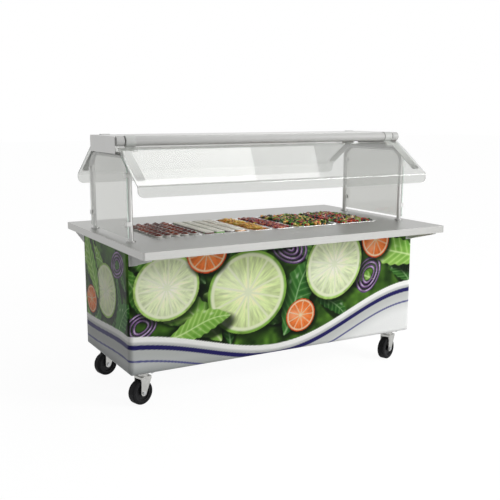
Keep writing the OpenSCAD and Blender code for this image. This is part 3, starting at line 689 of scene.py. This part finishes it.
@dataclass
class Wrap:
    """The printed film round the body: a dense grid on the body's walls, inked point by point."""

    step: float = 0.0042
    proud: float = 0.0004
    corner: float = 0.028
    edge: float = 0.025
    band: float = 0.372
    waves: tuple[Place, ...] = ((2, 0.090, 0.71), (3, 0.068, 1.95))
    foliage: tuple[int, int] = (30, 12)
    seed: int = 7

    def wall(self, side: Side) -> tuple[Array, Array, int, int]:
        """Points of one wall and half of each of its corners.

        The plan is a straight run and two eighths of a circle. Below the turned-under edge's middle the
        points keep within sqrt(r^2 - h^2) of it, which is the edge's round section, h below that middle.

        Args:
            side: Which wall.

        Returns:
            Points, their distance along the wall from its middle, rows and columns.
        """
        half, depth = BODY_HALF[side % 2], BODY_HALF[1 - side % 2]
        arc = self.corner * math.pi / 4
        run = half - self.corner
        cols = int(2 * (run + arc) / self.step) + 1
        t = np.linspace(-run - arc, run + arc, cols)
        a = np.clip(np.abs(t) - run, 0, None) / self.corner * np.sign(t)
        x = np.clip(t, -run, run) + (self.corner + self.proud) * np.sin(a)
        y = -(depth - self.corner) - (self.corner + self.proud) * np.cos(a)
        middle, radius = BODY_LOW + self.edge, self.edge + self.proud
        low = middle - radius * np.sin(np.linspace(1.45, 0.0, 14))
        rows_up = int((BODY_TOP - middle) / self.step)
        z = np.concatenate([low, np.linspace(middle, BODY_TOP - 0.001, rows_up)[1:]])
        drop = np.clip(middle - z, 0, radius)[:, None]
        reach = np.sqrt(radius**2 - drop**2) - self.edge
        px = np.clip(x[None], -(half + reach), half + reach)
        py = np.maximum(y[None], -(depth + reach))
        pz = np.repeat(z[:, None], cols, 1)
        turn = side * math.pi / 2
        c, s = round(math.cos(turn)), round(math.sin(turn))
        points = np.stack([px * c - py * s, px * s + py * c, pz], axis=2)
        return points.reshape(-1, 3), np.repeat(t[None], len(z), 0).ravel(), len(z), cols

    def artwork(self, s: Array, z: Array, side: Side) -> Array:
        """Inks one wall: dark foliage, motifs from back to front, and the waved lower border.

        Args:
            s: Distance along the wall from its middle.
            z: Height of each point.
            side: Which wall.

        Returns:
            Linear colours.
        """
        sheet = Print(s, z)
        broad = value_noise(s * 9 + 20 + side * 7, z * 11, self.seed)
        fine = value_noise(s * 34, z * 40 + side, self.seed + 1)
        shade = np.clip(0.55 * broad + 0.45 * fine, 0, 1)[:, None]
        sheet.ink = np.array([0.07, 0.15, 0.05]) + shade * np.array([0.34, 0.46, 0.16])
        rng = np.random.default_rng(self.seed + side)
        half, count = BODY_HALF[side % 2], self.foliage[side % 2]
        greens = [((0.16, 0.38, 0.12), (0.56, 0.78, 0.34)), ((0.28, 0.50, 0.16), (0.76, 0.90, 0.48)),
                  ((0.08, 0.24, 0.09), (0.38, 0.60, 0.26))]
        for k in range(count):
            at = (rng.uniform(-half, half), rng.uniform(0.26, 0.90))
            dark, light = greens[k % 3]
            sheet.leaf(at, rng.uniform(0, 360), rng.uniform(0.12, 0.21), dark, light, rng.uniform(0.26, 0.42))
        for ink, *what in self.motifs(side):
            ink(sheet, *what)
        self.border(sheet, side)
        return linear(sheet.ink)

    def motifs(self, side: Side) -> list[tuple]:
        """The large motifs of a wall, from back to front.

        Args:
            side: Which wall.

        Returns:
            For each motif, the method of Print that inks it and what the method is given.
        """
        lime, lime_rind = (0.86, 0.93, 0.66), (0.50, 0.68, 0.28)
        pale, pale_rind = (0.90, 0.95, 0.76), (0.66, 0.80, 0.42)
        orange, orange_rind = (0.95, 0.48, 0.22), (0.86, 0.30, 0.12)
        purple = (0.36, 0.14, 0.46)
        bright = ((0.34, 0.58, 0.18), (0.80, 0.93, 0.52))
        deep = ((0.10, 0.30, 0.11), (0.42, 0.66, 0.30))
        if side % 2 == 0:
            return [
                (Print.ring, (-0.90, 0.46), 0.10, purple, 30),
                (Print.ring, (0.04, 0.82), 0.13, purple, -25, 4),
                (Print.ring, (0.62, 0.60), 0.12, purple, 60),
                (Print.leaf, (-0.58, 0.50), 125, 0.25, *bright, 0.40),
                (Print.leaf, (0.10, 0.52), 60, 0.25, *deep, 0.42),
                (Print.wheel, (-0.745, 0.66), 0.198, pale_rind, pale, 11),
                (Print.wheel, (-0.24, 0.58), 0.262, lime_rind, lime, 10),
                (Print.leaf, (0.82, 0.74), 152, 0.26, *bright, 0.36),
                (Print.wheel, (0.36, 0.69), 0.225, pale_rind, pale, 10, 0.88, 60),
                (Print.wheel, (-0.50, 0.83), 0.125, orange_rind, orange, 10, 0.9, 10),
                (Print.wheel, (0.67, 0.82), 0.120, orange_rind, orange, 9, 0.88, 100),
                (Print.wheel, (0.12, 0.40), 0.105, orange_rind, orange, 9, 0.92, 40),
                (Print.leaf, (0.04, 0.90), 20, 0.16, *deep, 0.40),
                (Print.leaf, (-0.55, 0.42), 8, 0.20, *bright, 0.36),
            ]
        return [
            (Print.ring, (0.22, 0.78), 0.10, purple, 20),
            (Print.wheel, (0.02, 0.60), 0.17, pale_rind, pale, 11),
            (Print.leaf, (-0.22, 0.72), 110, 0.22, *bright, 0.36),
            (Print.wheel, (-0.24, 0.50), 0.09, orange_rind, orange, 9),
            (Print.leaf, (0.26, 0.46), 40, 0.18, *deep, 0.42),
        ]

    def border(self, sheet: Print, side: Side) -> None:
        """Lays the pale lower band: a wave with a white edge, grey shading and two navy lines.

        The band's height is two sine waves (waves a trip, height, phase) that close on themselves after
        one trip round the body, so the lines meet at the corners. Its stripes are steps of the distance
        below that height. Its left end is greyer low down: painted shade, for the shade that falls on
        the body's lower left.

        Args:
            sheet: The wall's print.
            side: Which wall.
        """
        lengths = [2 * (half - self.corner + self.corner * math.pi / 4) for half in BODY_HALF]
        trip = 2 * sum(lengths)
        at = 2 * math.pi * (sheet.s + side * sum(lengths) / 2) / trip
        d = self.band + sum(high * np.sin(turns * at - phase) for turns, high, phase in self.waves) - sheet.z
        sheet.lay((0.99, 0.99, 0.98), smooth(-0.002, 0.002, d))
        sheet.lay((0.78, 0.79, 0.78), smooth(0.022, 0.040, d))
        sheet.lay((0.95, 0.955, 0.95), smooth(0.075, 0.22, d))
        # Painted shade: a grey over the lower part of the left end, darker towards the bottom, for the shade on
        # the body's lower left.
        painted_shade_left = smooth(0.2, -1.0, sheet.s) if side is Side.FRONT else float(side is Side.LEFT)
        painted_shade_low = 0.25 * smooth(0.40, 0.26, sheet.z) + 0.45 * smooth(0.26, 0.20, sheet.z)
        sheet.lay((0.52, 0.54, 0.54), painted_shade_left * painted_shade_low * smooth(0.0, 0.05, d))
        sheet.lay((0.15, 0.14, 0.37), smooth(0.015, 0.011, np.abs(d - 0.060)))
        sheet.lay((0.32, 0.33, 0.54), smooth(0.007, 0.004, np.abs(d - 0.138)) * 0.9)

    def build(self) -> None:
        """Makes the four walls of film and dresses them."""
        vinyl = Tinted("printed_film", (0.34, 0.46), 0.03, 300.0, 0.00002, gloss=0.07).material()
        for side in Side:
            points, s, rows, cols = self.wall(side)
            sheet = Shape(points, grid_faces(rows, cols), tint=self.artwork(s, points[:, 2], side))
            sheet.piece(f"wrap_{side.name.lower()}", "frame", "body", vinyl)


# ---- food


def bay_x(bay: int) -> float:
    """Returns the middle of a bay, counted from 0 at the left."""
    return (bay - 2) * BAY_PITCH


@dataclass
class Cups:
    """White portion cups in rows, each with a crowned red-brown filling."""

    columns: int = 5
    rows: int = 9
    pitch: float = 0.054
    floor: float = 0.8895
    sides: int = 20
    seed: int = 3
    wall: tuple[Pair, ...] = (
        (0, 0), (0.017, 0), (0.0195, 0.0005), (0.0202, 0.002), (0.0248, 0.030), (0.0260, 0.0318),
        (0.0263, 0.0330), (0.0258, 0.0339), (0.0249, 0.0336), (0.0243, 0.0312), (0.0196, 0.0025),
        (0.0180, 0.0014), (0, 0.0014))

    def filling(self, rng: Random, count: int) -> Shape:
        """Fillings of the cups: 31.2 mm + 12 mm (1 - share^2) high at a share of the radius, with bumps.

        Args:
            rng: Source of random numbers.
            count: How many fillings.

        Returns:
            One shape with points (count, n, 3).
        """
        share = np.linspace(1.0, 0.14, 7)
        top = zip(0.0238 * share, 0.0312 + 0.0120 * (1 - share**2))
        plain = Shape.lathe([(0, 0.012), (0.021, 0.012), *top, (0, 0.0434)], self.sides)
        bumps = 0.0014 * rng.standard_normal((count, 7, self.sides)) * (share < 0.95)[None, :, None]
        verts = np.repeat(plain.verts[None], count, 0)
        verts[:, self.sides:-2, 2] += bumps.reshape(count, -1)
        return replace(plain, verts=verts)

    def build(self) -> None:
        """Makes the cups and their fillings in place of the CAD's plain cylinders."""
        rng = np.random.default_rng(self.seed)
        gx, gy = np.indices((self.columns, self.rows)).reshape(2, -1)
        count = gx.size
        places = np.stack([bay_x(0) + (gx - (self.columns - 1) / 2) * self.pitch,
                           (gy - (self.rows - 1) / 2) * self.pitch, np.full(count, self.floor)], axis=1)
        turns = random_turns(rng, count, 0.0)
        cups = Shape.lathe(self.wall, self.sides).copies(turns, places)
        plastic = Paint("cup_plastic", (0.80, 0.79, 0.74), (0.90, 0.89, 0.85), (0.22, 0.34), 40.0, 0.00002,
                        0.2).material()
        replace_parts(cups.piece("cup_shells", "cups", "cup", plastic), "portion_cups")
        filling = self.filling(rng, count)
        shades = linear([(0.44, 0.17, 0.12), (0.52, 0.24, 0.16), (0.36, 0.13, 0.10)])
        tints = shades[(gx * 2 + gy // 3) % 3] * rng.uniform(0.75, 1.2, (count, 1))
        sauce = Tinted("cup_filling", (0.12, 0.4), 0.35, 420.0, 0.0006, 0.3).material()
        filling.copies(turns, places, tints=tints).piece("cup_fillings", "cups", "cup", sauce)


@dataclass
class Packets:
    """Film packets stood on edge in rows: pillows with a crimped seal along the top and the foot."""

    rows: int = 4
    per_row: int = 40
    pitch: float = 0.068
    length: float = 0.470
    floor: float = 0.8897
    height: float = 0.0352
    width: float = 0.058
    thick: float = 0.0036
    seal: float = 0.0004
    seed: int = 5

    def build(self) -> None:
        """Makes the packets in place of the CAD's plain blocks.

        Half a packet's thickness at (u, v), both from -1 to 1, is thick (1 - u^4)(1 - (v / 0.9)^4) + seal.
        """
        rng = np.random.default_rng(self.seed)
        row, step = np.indices((self.rows, self.per_row)).reshape(2, -1)
        count = row.size
        v = np.array([-1, -0.86, -0.5, 0.0, 0.5, 0.86, 1])
        u = np.array([-1, -0.6, 0, 0.6, 1])
        half = self.thick * (1 - u[None] ** 4) * (1 - np.abs(v[:, None] / 0.9).clip(0, 1) ** 4) + self.seal
        z, x = np.meshgrid(v * self.height / 2, u * self.width / 2, indexing="ij")
        face, back = np.stack([x, -half, z], axis=2), np.stack([x[:, ::-1], half, z], axis=2)
        tips = (np.array([0, 0, end * self.height / 2]) for end in (-1, 1))
        pillow = Shape.skin(np.concatenate([face, back], axis=1), *tips)
        x = bay_x(1) + (row - (self.rows - 1) / 2) * self.pitch + rng.uniform(-0.0012, 0.0012, count)
        y = ((step + 0.5) / self.per_row - 0.5) * self.length
        places = np.stack([x, y, np.full(count, self.floor + self.height / 2)], axis=1)
        lean = rng.uniform(-0.30, -0.10, count)
        sizes = np.full((count, 3), 0.98)
        sizes[:, 2] /= np.cos(lean) + 0.1 * np.abs(np.sin(lean))
        packets = pillow.copies(turns_about(0, lean), places, sizes)
        inks = linear([(0.36, 0.09, 0.07), (0.42, 0.66, 0.28), (0.16, 0.05, 0.06), (0.86, 0.56, 0.22)])
        white = linear((0.92, 0.91, 0.87)) * rng.uniform(0.85, 1.05, (count, 1))
        ink = inks[(row + (rng.random(count) < 0.12)) % 4]
        level = pillow.verts[:, 2] / (self.height / 2)
        inked = ((level > -0.9) & (level < 0.7))[None, :, None]
        tint = np.where(inked, ink[:, None], white[:, None]).reshape(-1, 3)
        film = Tinted("packet_film", (0.15, 0.3), 0.08, 90.0, 0.0003, 0.3).material()
        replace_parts(packets.tinted(tint).piece("packet_rows", "packets", "packet", film), "dressing_packets")


@dataclass
class Pan:
    """The space that a pan's loose food fills, and the crowned surface of its heap."""

    x: float
    width: float
    length: float = 0.497
    low: float = 0.818
    edge: float = 0.9085
    rise: float = 0.010
    rough: float = 0.005
    bed_depth: float = 0.004
    squareness: float = 0.28

    def height(self, x: Array, y: Array) -> Array:
        """Height of the heap: the edge plus rise sqrt((1 - u^2)(1 - v^2)), roughened a little.

        Args:
            x: Coordinates along the counter.
            y: Coordinates from front to back.

        Returns:
            The heap's height at each.
        """
        u, v = (x - self.x) / (self.width / 2), y / (self.length / 2)
        crown = self.rise * np.sqrt(np.clip((1 - u**2) * (1 - v**2), 0, 1))
        return self.edge + crown + self.rough * (value_noise(x * 45 + 40, y * 45 + 40, 12) - 0.5)

    def bed(self) -> Shape:
        """Closed bed of food: rings of the pan's rounded plan shrink to the middle over the heap's top.

        The plan is a superellipse: each of (cos a, sin a) raised to a small power, with its sign kept.

        Returns:
            The bed.
        """
        plan = circle(72)
        plan = np.sign(plan) * np.abs(plan) ** self.squareness * np.array([self.width / 2, self.length / 2])
        share = np.concatenate([[0.9, 1.0], np.linspace(1, 0.06, 14)])[:, None]
        x, y = self.x + share * plan[:, 0], share * plan[:, 1]
        z = self.height(x, y) - self.bed_depth
        z[:2] = self.low
        top = self.height(np.array([self.x]), np.array([0.0]))[0] - self.bed_depth
        tips = (np.array([self.x, 0, end]) for end in (self.low, top))
        return Shape.skin(np.stack([x, y, z], axis=2), *tips)

    def places(self, rng: Random, count: int, margin: float, lift: float) -> Array:
        """Draws random places over the heap.

        Args:
            rng: Source of random numbers.
            count: How many places.
            margin: Least distance from the pan's wall.
            lift: Height above the heap.

        Returns:
            Places (count, 3).
        """
        x, y = (rng.uniform(-1, 1, count) * (span / 2 - margin) for span in (self.width, self.length))
        z = self.height(self.x + x, y) + lift + rng.uniform(-0.002, 0.003, count)
        return np.stack([self.x + x, y, z], axis=1)


def shreds(rng: Random, count: int, length: Pair, thick: float) -> Shape:
    """Bent shreds: a square section swept along an arc, p(t) = (t, b (1 - t^2), lift), with tapered ends.

    Args:
        rng: Source of random numbers.
        count: How many shreds.
        length: Least and greatest length in metres.
        thick: Side of the section in metres.

    Returns:
        One shape with points (count, n, 3).
    """
    t = np.linspace(-1, 1, 6)
    size = rng.uniform(*length, count)[:, None]
    bow = rng.uniform(-0.35, 0.35, count)[:, None]
    lift = rng.uniform(-0.05, 0.12, count)[:, None]
    arch = size * (1 - t**2)
    path = np.stack([t * size / 2, bow * arch / 2, lift * arch], axis=2)
    taper = (1 - 0.6 * np.abs(t) ** 3)[None, :, None] * thick / 2
    corner = np.array([(-1, -1), (1, -1), (1, 1), (-1, 1)])
    section = np.stack([np.zeros(4), corner[:, 0], corner[:, 1]], axis=1)
    rings = path[:, :, None] + taper[..., None] * section[None, None]
    return Shape.skin(rings, path[:, 0], path[:, -1])


def leaves(rng: Random, count: int) -> Shape:
    """Curled leaves: a flat six-sided section swept along a curve, as wide as sin(pi t)^0.7, with crimps.

    Args:
        rng: Source of random numbers.
        count: How many leaves.

    Returns:
        One shape with points (count, n, 3), one unit long.
    """
    t = np.linspace(0.06, 0.94, 6)
    width = 0.34 * np.sin(math.pi * t) ** 0.7 * rng.uniform(0.7, 1.2, (count, 1))
    curl = rng.uniform(0.1, 0.5, (count, 1))
    across = np.array([-1.0, -0.45, 0.45, 1.0, 0.45, -0.45])
    thick = np.array([0.0, -0.03, -0.03, 0.0, 0.03, 0.03])
    crimp = 0.10 * rng.standard_normal((count, 6, 6)) * np.abs(across)
    x = np.broadcast_to((t - 0.5)[None, :, None], (count, 6, 6))
    y = width[..., None] * across
    z = thick + curl[..., None] * (across**2 - (2 * t - 1)[:, None] ** 2) / 4 + crimp
    rings = np.stack([x, y, z], axis=3)
    tips = [np.stack([np.full(count, e), np.zeros(count), rings[:, i, :, 2].mean(1)], 1)
            for e, i in ((-0.5, 0), (0.5, -1))]
    return Shape.skin(rings, *tips)


def chunks(rng: Random, count: int) -> Shape:
    """Cut pieces: a block with softened edges, its corners pushed about a little.

    Args:
        rng: Source of random numbers.
        count: How many pieces.

    Returns:
        One shape with points (count, n, 3), about one unit across.
    """
    plan = circle(8, math.pi / 8)
    plan /= np.abs(plan).max(axis=1, keepdims=True) ** 0.75
    rings = stacked(plan, np.array([0.36, 0.5, 0.5, 0.36]), np.array([-0.5, -0.38, 0.38, 0.5]))
    rings = rings[None] + 0.04 * rng.standard_normal((count, 4, 8, 3))
    return Shape.skin(rings, *(np.tile([0, 0, z], (count, 1)) for z in (-0.5, 0.5)))


class Cut(Enum):
    """How food is cut."""

    SHREDS = "shreds"
    LEAVES = "leaves"
    CHUNKS = "chunks"


@dataclass(frozen=True)
class Helping:
    """One kind of cut food strewn on a heap."""

    cut: Cut
    count: int
    size: Pair
    colours: tuple[Colour, ...]
    tilt: float = 0.5
    lift: float = 0.002
    inset: float = 0.42
    thick: float = 0.0034
    block: Place = (1.0, 0.8, 0.55)

    def strewn(self, rng: Random, pan: Pan) -> Shape:
        """Makes the pieces and strews them over a pan's heap.

        Args:
            rng: Source of random numbers.
            pan: The pan.

        Returns:
            The pieces as one shape.
        """
        n = self.count
        places = pan.places(rng, n, self.size[1] * self.inset, self.lift)
        turns = random_turns(rng, n, self.tilt)
        shades = linear(self.colours)[rng.integers(0, len(self.colours), n)]
        tints = shades * rng.uniform(0.7, 1.2, (n, 1))
        if self.cut is Cut.SHREDS:
            return shreds(rng, n, self.size, self.thick).copies(turns, places, tints=tints)
        if self.cut is Cut.LEAVES:
            sizes = rng.uniform(*self.size, (n, 1))
            return leaves(rng, n).copies(turns, places, sizes, tints)
        sizes = rng.uniform(*self.size, (n, 3)) * np.array(self.block)
        return chunks(rng, n).copies(turns, places, sizes, tints)


@dataclass
class Salad:
    """Loose food of one pan: a closed bed and the pieces strewn over it."""

    name: str
    body: str
    slot: str
    node: str
    pan: Pan
    ground: Colour
    seed: int
    helpings: tuple[Helping, ...]

    def build(self) -> None:
        """Makes the bed and the strewn pieces in place of the CAD's plain heap."""
        rng = np.random.default_rng(self.seed)
        parts = [self.pan.bed().tinted(linear(self.ground))]
        parts += [helping.strewn(rng, self.pan) for helping in self.helpings]
        moist = Tinted(f"{self.name}_flesh", (0.15, 0.4), 0.25, 260.0, 0.0005, 0.25, 0.12).material()
        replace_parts(Shape.joined(parts).piece(self.name, self.body, self.slot, moist), self.node)


def salads() -> list[Salad]:
    """Lists the loose food.

    Returns:
        The four heaps, from left to right.
    """
    orange = ((0.99, 0.72, 0.34), (1.00, 0.82, 0.48), (0.96, 0.62, 0.24))
    yellow = ((0.96, 0.86, 0.42), (0.93, 0.80, 0.34))
    wine = ((0.58, 0.09, 0.13), (0.70, 0.17, 0.19), (0.42, 0.06, 0.10))
    green = ((0.50, 0.72, 0.24), (0.36, 0.60, 0.18), (0.72, 0.86, 0.40), (0.22, 0.44, 0.13))
    red = ((0.80, 0.18, 0.13), (0.88, 0.34, 0.20), (0.66, 0.13, 0.10))
    pale, flesh = (0.94, 0.86, 0.72), (0.84, 0.46, 0.32)
    dark = ((0.14, 0.11, 0.12), (0.24, 0.14, 0.16))
    return [
        Salad("carrot_shreds", "carrots", "food_orange", "carrot_food",
              Pan(-BAY_PITCH / 4, 0.119), (0.82, 0.50, 0.20), 21,
              (Helping(Cut.SHREDS, 330, (0.030, 0.055), orange + yellow),)),
        Salad("beetroot_slices", "beetroot", "food_dark_red", "beetroot_food",
              Pan(BAY_PITCH / 4, 0.119), (0.34, 0.05, 0.08), 22,
              (Helping(Cut.CHUNKS, 300, (0.013, 0.024), wine + (flesh,)),)),
        Salad("mixed_leaves", "greens", "food_green", "greens_food",
              Pan(BAY_PITCH, 0.273), (0.18, 0.28, 0.09), 23,
              (Helping(Cut.LEAVES, 380, (0.035, 0.065), green, 0.45, 0.001),
               Helping(Cut.CHUNKS, 250, (0.016, 0.028), orange + yellow[:1] + dark * 2 + red, 0.8, 0.006))),
        Salad("pepper_mix", "peppers", "food_red", "pepper_food",
              Pan(2 * BAY_PITCH, 0.273), (0.34, 0.11, 0.07), 24,
              (Helping(Cut.CHUNKS, 400, (0.016, 0.029), red * 2 + (green[0], pale) + dark * 2, 0.8, 0.003),
               Helping(Cut.LEAVES, 100, (0.028, 0.048), green, 0.5, 0.005))),
    ]


# ---- finishes on the CAD pieces


CORNERS = ("front_left", "front_right", "rear_left", "rear_right")


def at_corners(kind: str) -> tuple[str, ...]:
    """Names of one kind of caster piece at the four corners."""
    return tuple(f"{kind}_{corner}" for corner in CORNERS)


DRESSED = (
    (Paint("moulded_body", (0.70, 0.71, 0.68), (0.78, 0.79, 0.76), (0.30, 0.42), 60.0, 0.0001, 0.15),
     ("body_shell",)),
    (Paint("frame_powder_coat", (0.035, 0.037, 0.040), (0.055, 0.058, 0.062)), ("base_frame",)),
    (Metal("galvanised_sheet", (0.34, 0.36, 0.38), (0.52, 0.54, 0.56), (0.42, 0.58), Grain.NONE, 60.0),
     ("floor_panel",)),
    (Metal("counter_steel", (0.345, 0.345, 0.333), (0.420, 0.420, 0.406), (0.30, 0.40)),
     ("counter_top", "adapter_bars")),
    (Metal("liner_steel", (0.34, 0.34, 0.335), (0.44, 0.44, 0.435), (0.24, 0.36)),
     ("well_liner", "false_bottom")),
    (Paint("bracket_enamel", (0.66, 0.67, 0.65), (0.76, 0.77, 0.75)), ("counter_brackets",)),
    (Paint("rigid_foam", (0.62, 0.53, 0.30), (0.76, 0.68, 0.44), (0.75, 0.9), 90.0, 0.0008),
     ("well_insulation",)),
    (Metal("pan_steel", (0.50, 0.50, 0.49), (0.66, 0.66, 0.65), (0.16, 0.26), Grain.ALONG_Y, 300.0),
     ("cup_tray", "packet_tray", "carrot_pan", "beetroot_pan", "greens_pan", "pepper_pan")),
    (Metal("drain_steel", (0.42, 0.42, 0.41), (0.55, 0.55, 0.54), (0.24, 0.36), Grain.ALONG_Z),
     ("drain_tube",)),
    (Metal("valve_brass", (0.46, 0.27, 0.08), (0.66, 0.44, 0.17), (0.24, 0.42), Grain.NONE, 90.0),
     ("drain_valve",)),
    (Paint("dipped_red", (0.30, 0.010, 0.008), (0.44, 0.022, 0.016), (0.28, 0.38), 60.0, 0.00008, 0.3),
     ("valve_lever",)),
    (Metal("post_steel", (0.44, 0.44, 0.43), (0.56, 0.56, 0.55), (0.32, 0.44), Grain.ALONG_Z),
     ("left_hoop", "right_hoop", "post_collars")),
    (Metal("zinc_plate", (0.40, 0.41, 0.42), (0.54, 0.55, 0.56), (0.32, 0.48), Grain.NONE, 70.0),
     ("post_nuts", "caster_bolts", *at_corners("axle"))),
    (Metal("satin_aluminium", (0.44, 0.44, 0.43), (0.54, 0.54, 0.53), (0.34, 0.46)),
     ("left_end_plate", "right_end_plate", "top_shelf", "glass_clips")),
    (Metal("hinge_tube", (0.50, 0.50, 0.488), (0.57, 0.57, 0.558), (0.58, 0.70), metallic=0.15),
     ("front_tube", "rear_tube", "bearing_blocks")),
    (Metal("arm_aluminium", (0.52, 0.53, 0.51), (0.60, 0.61, 0.59), (0.48, 0.60), Grain.NONE, 50.0, 0.1),
     ("front_arms", "rear_arms")),
    (Clear("end_panel", (0.64, 0.645, 0.620), (0.78, 0.91, 0.84), (0.60, 0.61, 0.59), clarity_other=0.1),
     ("left_end_glass", "right_end_glass")),
    (Clear("front_guard_panel", (0.66, 0.70, 0.68), (0.70, 0.708, 0.69), (0.76, 0.77, 0.76)),
     ("front_panel",)),
    # Painted light: the front panel's sheet made a little lighter and letting more light through, for the
    # brighter look of the rear panel.
    (Clear("rear_guard_panel_painted_lighter", (0.66, 0.70, 0.68), (0.71, 0.718, 0.70), (0.84, 0.85, 0.84)),
     ("rear_panel",)),
    (Metal("caster_zinc", (0.41, 0.41, 0.395), (0.53, 0.53, 0.51), (0.30, 0.44), Grain.NONE, 60.0),
     ("caster_plates", *at_corners("fork"))),
    (Paint("hub_nylon", (0.010, 0.010, 0.011), (0.018, 0.018, 0.020), (0.40, 0.52), gloss=0.2),
     at_corners("hub")),
    (Paint("tyre_rubber", (0.008, 0.008, 0.009), (0.016, 0.016, 0.017), (0.55, 0.75), 150.0, 0.0003,
           gloss=0.12),
     at_corners("tyre")),
)


def dress(nodes: dict[str, bpy.types.Object]) -> None:
    """Gives each visible CAD piece its finish.

    Args:
        nodes: The CAD objects by name.
    """
    for finish, names in DRESSED:
        material = finish.material()
        for name in names:
            nodes[name].data.materials.clear()
            nodes[name].data.materials.append(material)
        LOG.info("%s: %d CAD pieces", finish.name, len(names))


# ---- studio


@dataclass(frozen=True)
class Lamp:
    """A rectangular soft lamp that looks from one place to another."""

    name: str
    place: Place
    target: Place
    size: Pair
    power: float
    lights_matt: bool = True

    def build(self) -> None:
        """Adds the lamp to the scene."""
        data = bpy.data.lights.new(self.name, "AREA")
        data.shape, data.size, data.size_y, data.energy = "RECTANGLE", *self.size, self.power
        lamp = bpy.data.objects.new(self.name, data)
        lamp.location = self.place
        aim = Vector(self.target) - Vector(self.place)
        lamp.rotation_euler = aim.to_track_quat("-Z", "Y").to_euler()
        lamp.visible_camera = False
        lamp.visible_diffuse = self.lights_matt
        bpy.context.scene.collection.objects.link(lamp)


@dataclass
class Studio:
    """Pale floor, white surroundings for the camera, soft light from the right, and the camera.

    The ambient light's two strengths are those from the left and from the right, and the camera's
    angles are its tilt from straight down and its turn to the right, in degrees.
    """

    floor_half: float = 40.0
    floor_grey: float = 0.62
    floor_glow: float = 1.16
    ambient: Pair = (0.06, 0.94)
    camera_place: Place = (-2.3968, -4.2410, 1.5960)
    camera_angles: Pair = (79.67, 29.19)
    lens: float = 56.8985
    shift: Pair = (0.00254, 0.0127)
    lamps: tuple[Lamp, ...] = (
        Lamp("front_right_softbox", (3.0, -3.9, 2.6), (0.3, -0.3, 0.6), (2.0, 1.6), 105.0),
        Lamp("bright_ceiling_card", (0.25, 0.20, 3.0), (0.25, 0.20, 0.0), (1.10, 1.3), 17.0, False),
        Lamp("second_ceiling_card", (1.11, 0.20, 3.0), (1.11, 0.20, 0.0), (0.62, 1.3), 5.0, False),
        Lamp("low_front_card", (2.5, -4.5, 0.27), (2.5, -0.6, 0.80), (6.0, 0.50), 22.0),
    )

    def build(self) -> None:
        """Sets up the world, the floor, the lamps and the camera."""
        self.world()
        self.floor()
        for lamp in self.lamps:
            lamp.build()
        self.camera()
        LOG.info("studio: %d lamps", len(self.lamps))

    def world(self) -> None:
        """White for the rays that see it; for the rest a soft light, stronger from the right."""
        world = bpy.data.worlds.new("studio")
        world.use_nodes = True
        world.node_tree.nodes.clear()
        bpy.context.scene.world = world
        sky = Nodes(world.node_tree)
        x = sky.out("ShaderNodeSeparateXYZ", {0: sky.add("ShaderNodeTexCoord").outputs["Generated"]})
        level = sky.out("ShaderNodeMapRange", {"Value": x, "From Min": -1.0, "From Max": 1.0,
                                               "To Min": self.ambient[0], "To Max": self.ambient[1]})
        soft = sky.out("ShaderNodeBackground", {"Color": WHITE, "Strength": level})
        plain = sky.out("ShaderNodeBackground", {"Color": WHITE})
        mix = sky.out("ShaderNodeMixShader", {0: sky.seen(), 1: soft, 2: plain})
        sky.add("ShaderNodeOutputWorld", {0: mix})

    def floor(self) -> None:
        """A wide pale floor that keeps a faint shadow: for the camera most of its light is its own."""
        h = self.floor_half
        mesh = bpy.data.meshes.new("floor")
        mesh.from_pydata([(-h, -h, 0), (h, -h, 0), (h, h, 0), (-h, h, 0)], [], [(0, 1, 2, 3)])
        floor = bpy.data.objects.new("floor", mesh)
        bpy.context.scene.collection.objects.link(floor)
        pale = Shader("pale_floor")
        pale.feed(pale.principled, {"Base Color": (*[self.floor_grey] * 3, 1.0), "Roughness": 0.9,
                                    "Specular IOR Level": 0.0})
        glow = pale.out("ShaderNodeEmission", {"Strength": self.floor_glow})
        share = pale.out("ShaderNodeMath", {0: pale.seen(), 1: 0.8}, operation="MULTIPLY")
        pale.show(pale.out("ShaderNodeMixShader", {0: share, 1: pale.principled.outputs[0], 2: glow}))
        mesh.materials.append(pale.material)

    def camera(self) -> None:
        """The camera at the photograph's viewing angle."""
        data = bpy.data.cameras.new("camera")
        data.lens, data.sensor_width = self.lens, 36.0
        data.shift_x, data.shift_y = self.shift
        data.clip_end = 200.0
        camera = bpy.data.objects.new("camera", data)
        camera.location = self.camera_place
        tilt, turn = (math.radians(angle) for angle in self.camera_angles)
        camera.rotation_euler = (tilt, 0.0, -turn)
        bpy.context.scene.collection.objects.link(camera)
        bpy.context.scene.camera = camera


# ---- the scene


def main() -> None:
    """Builds the scene round the CAD model, in the order body, food, studio."""
    logging.basicConfig(level=logging.INFO, format="%(name)s: %(message)s")
    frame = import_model()
    bpy.context.scene.view_settings.view_transform = "Standard"
    dress(frame["nodes"])
    Wrap().build()
    Cups().build()
    Packets().build()
    for salad in salads():
        salad.build()
    Studio().build()


if __name__ == "__main__":
    main()
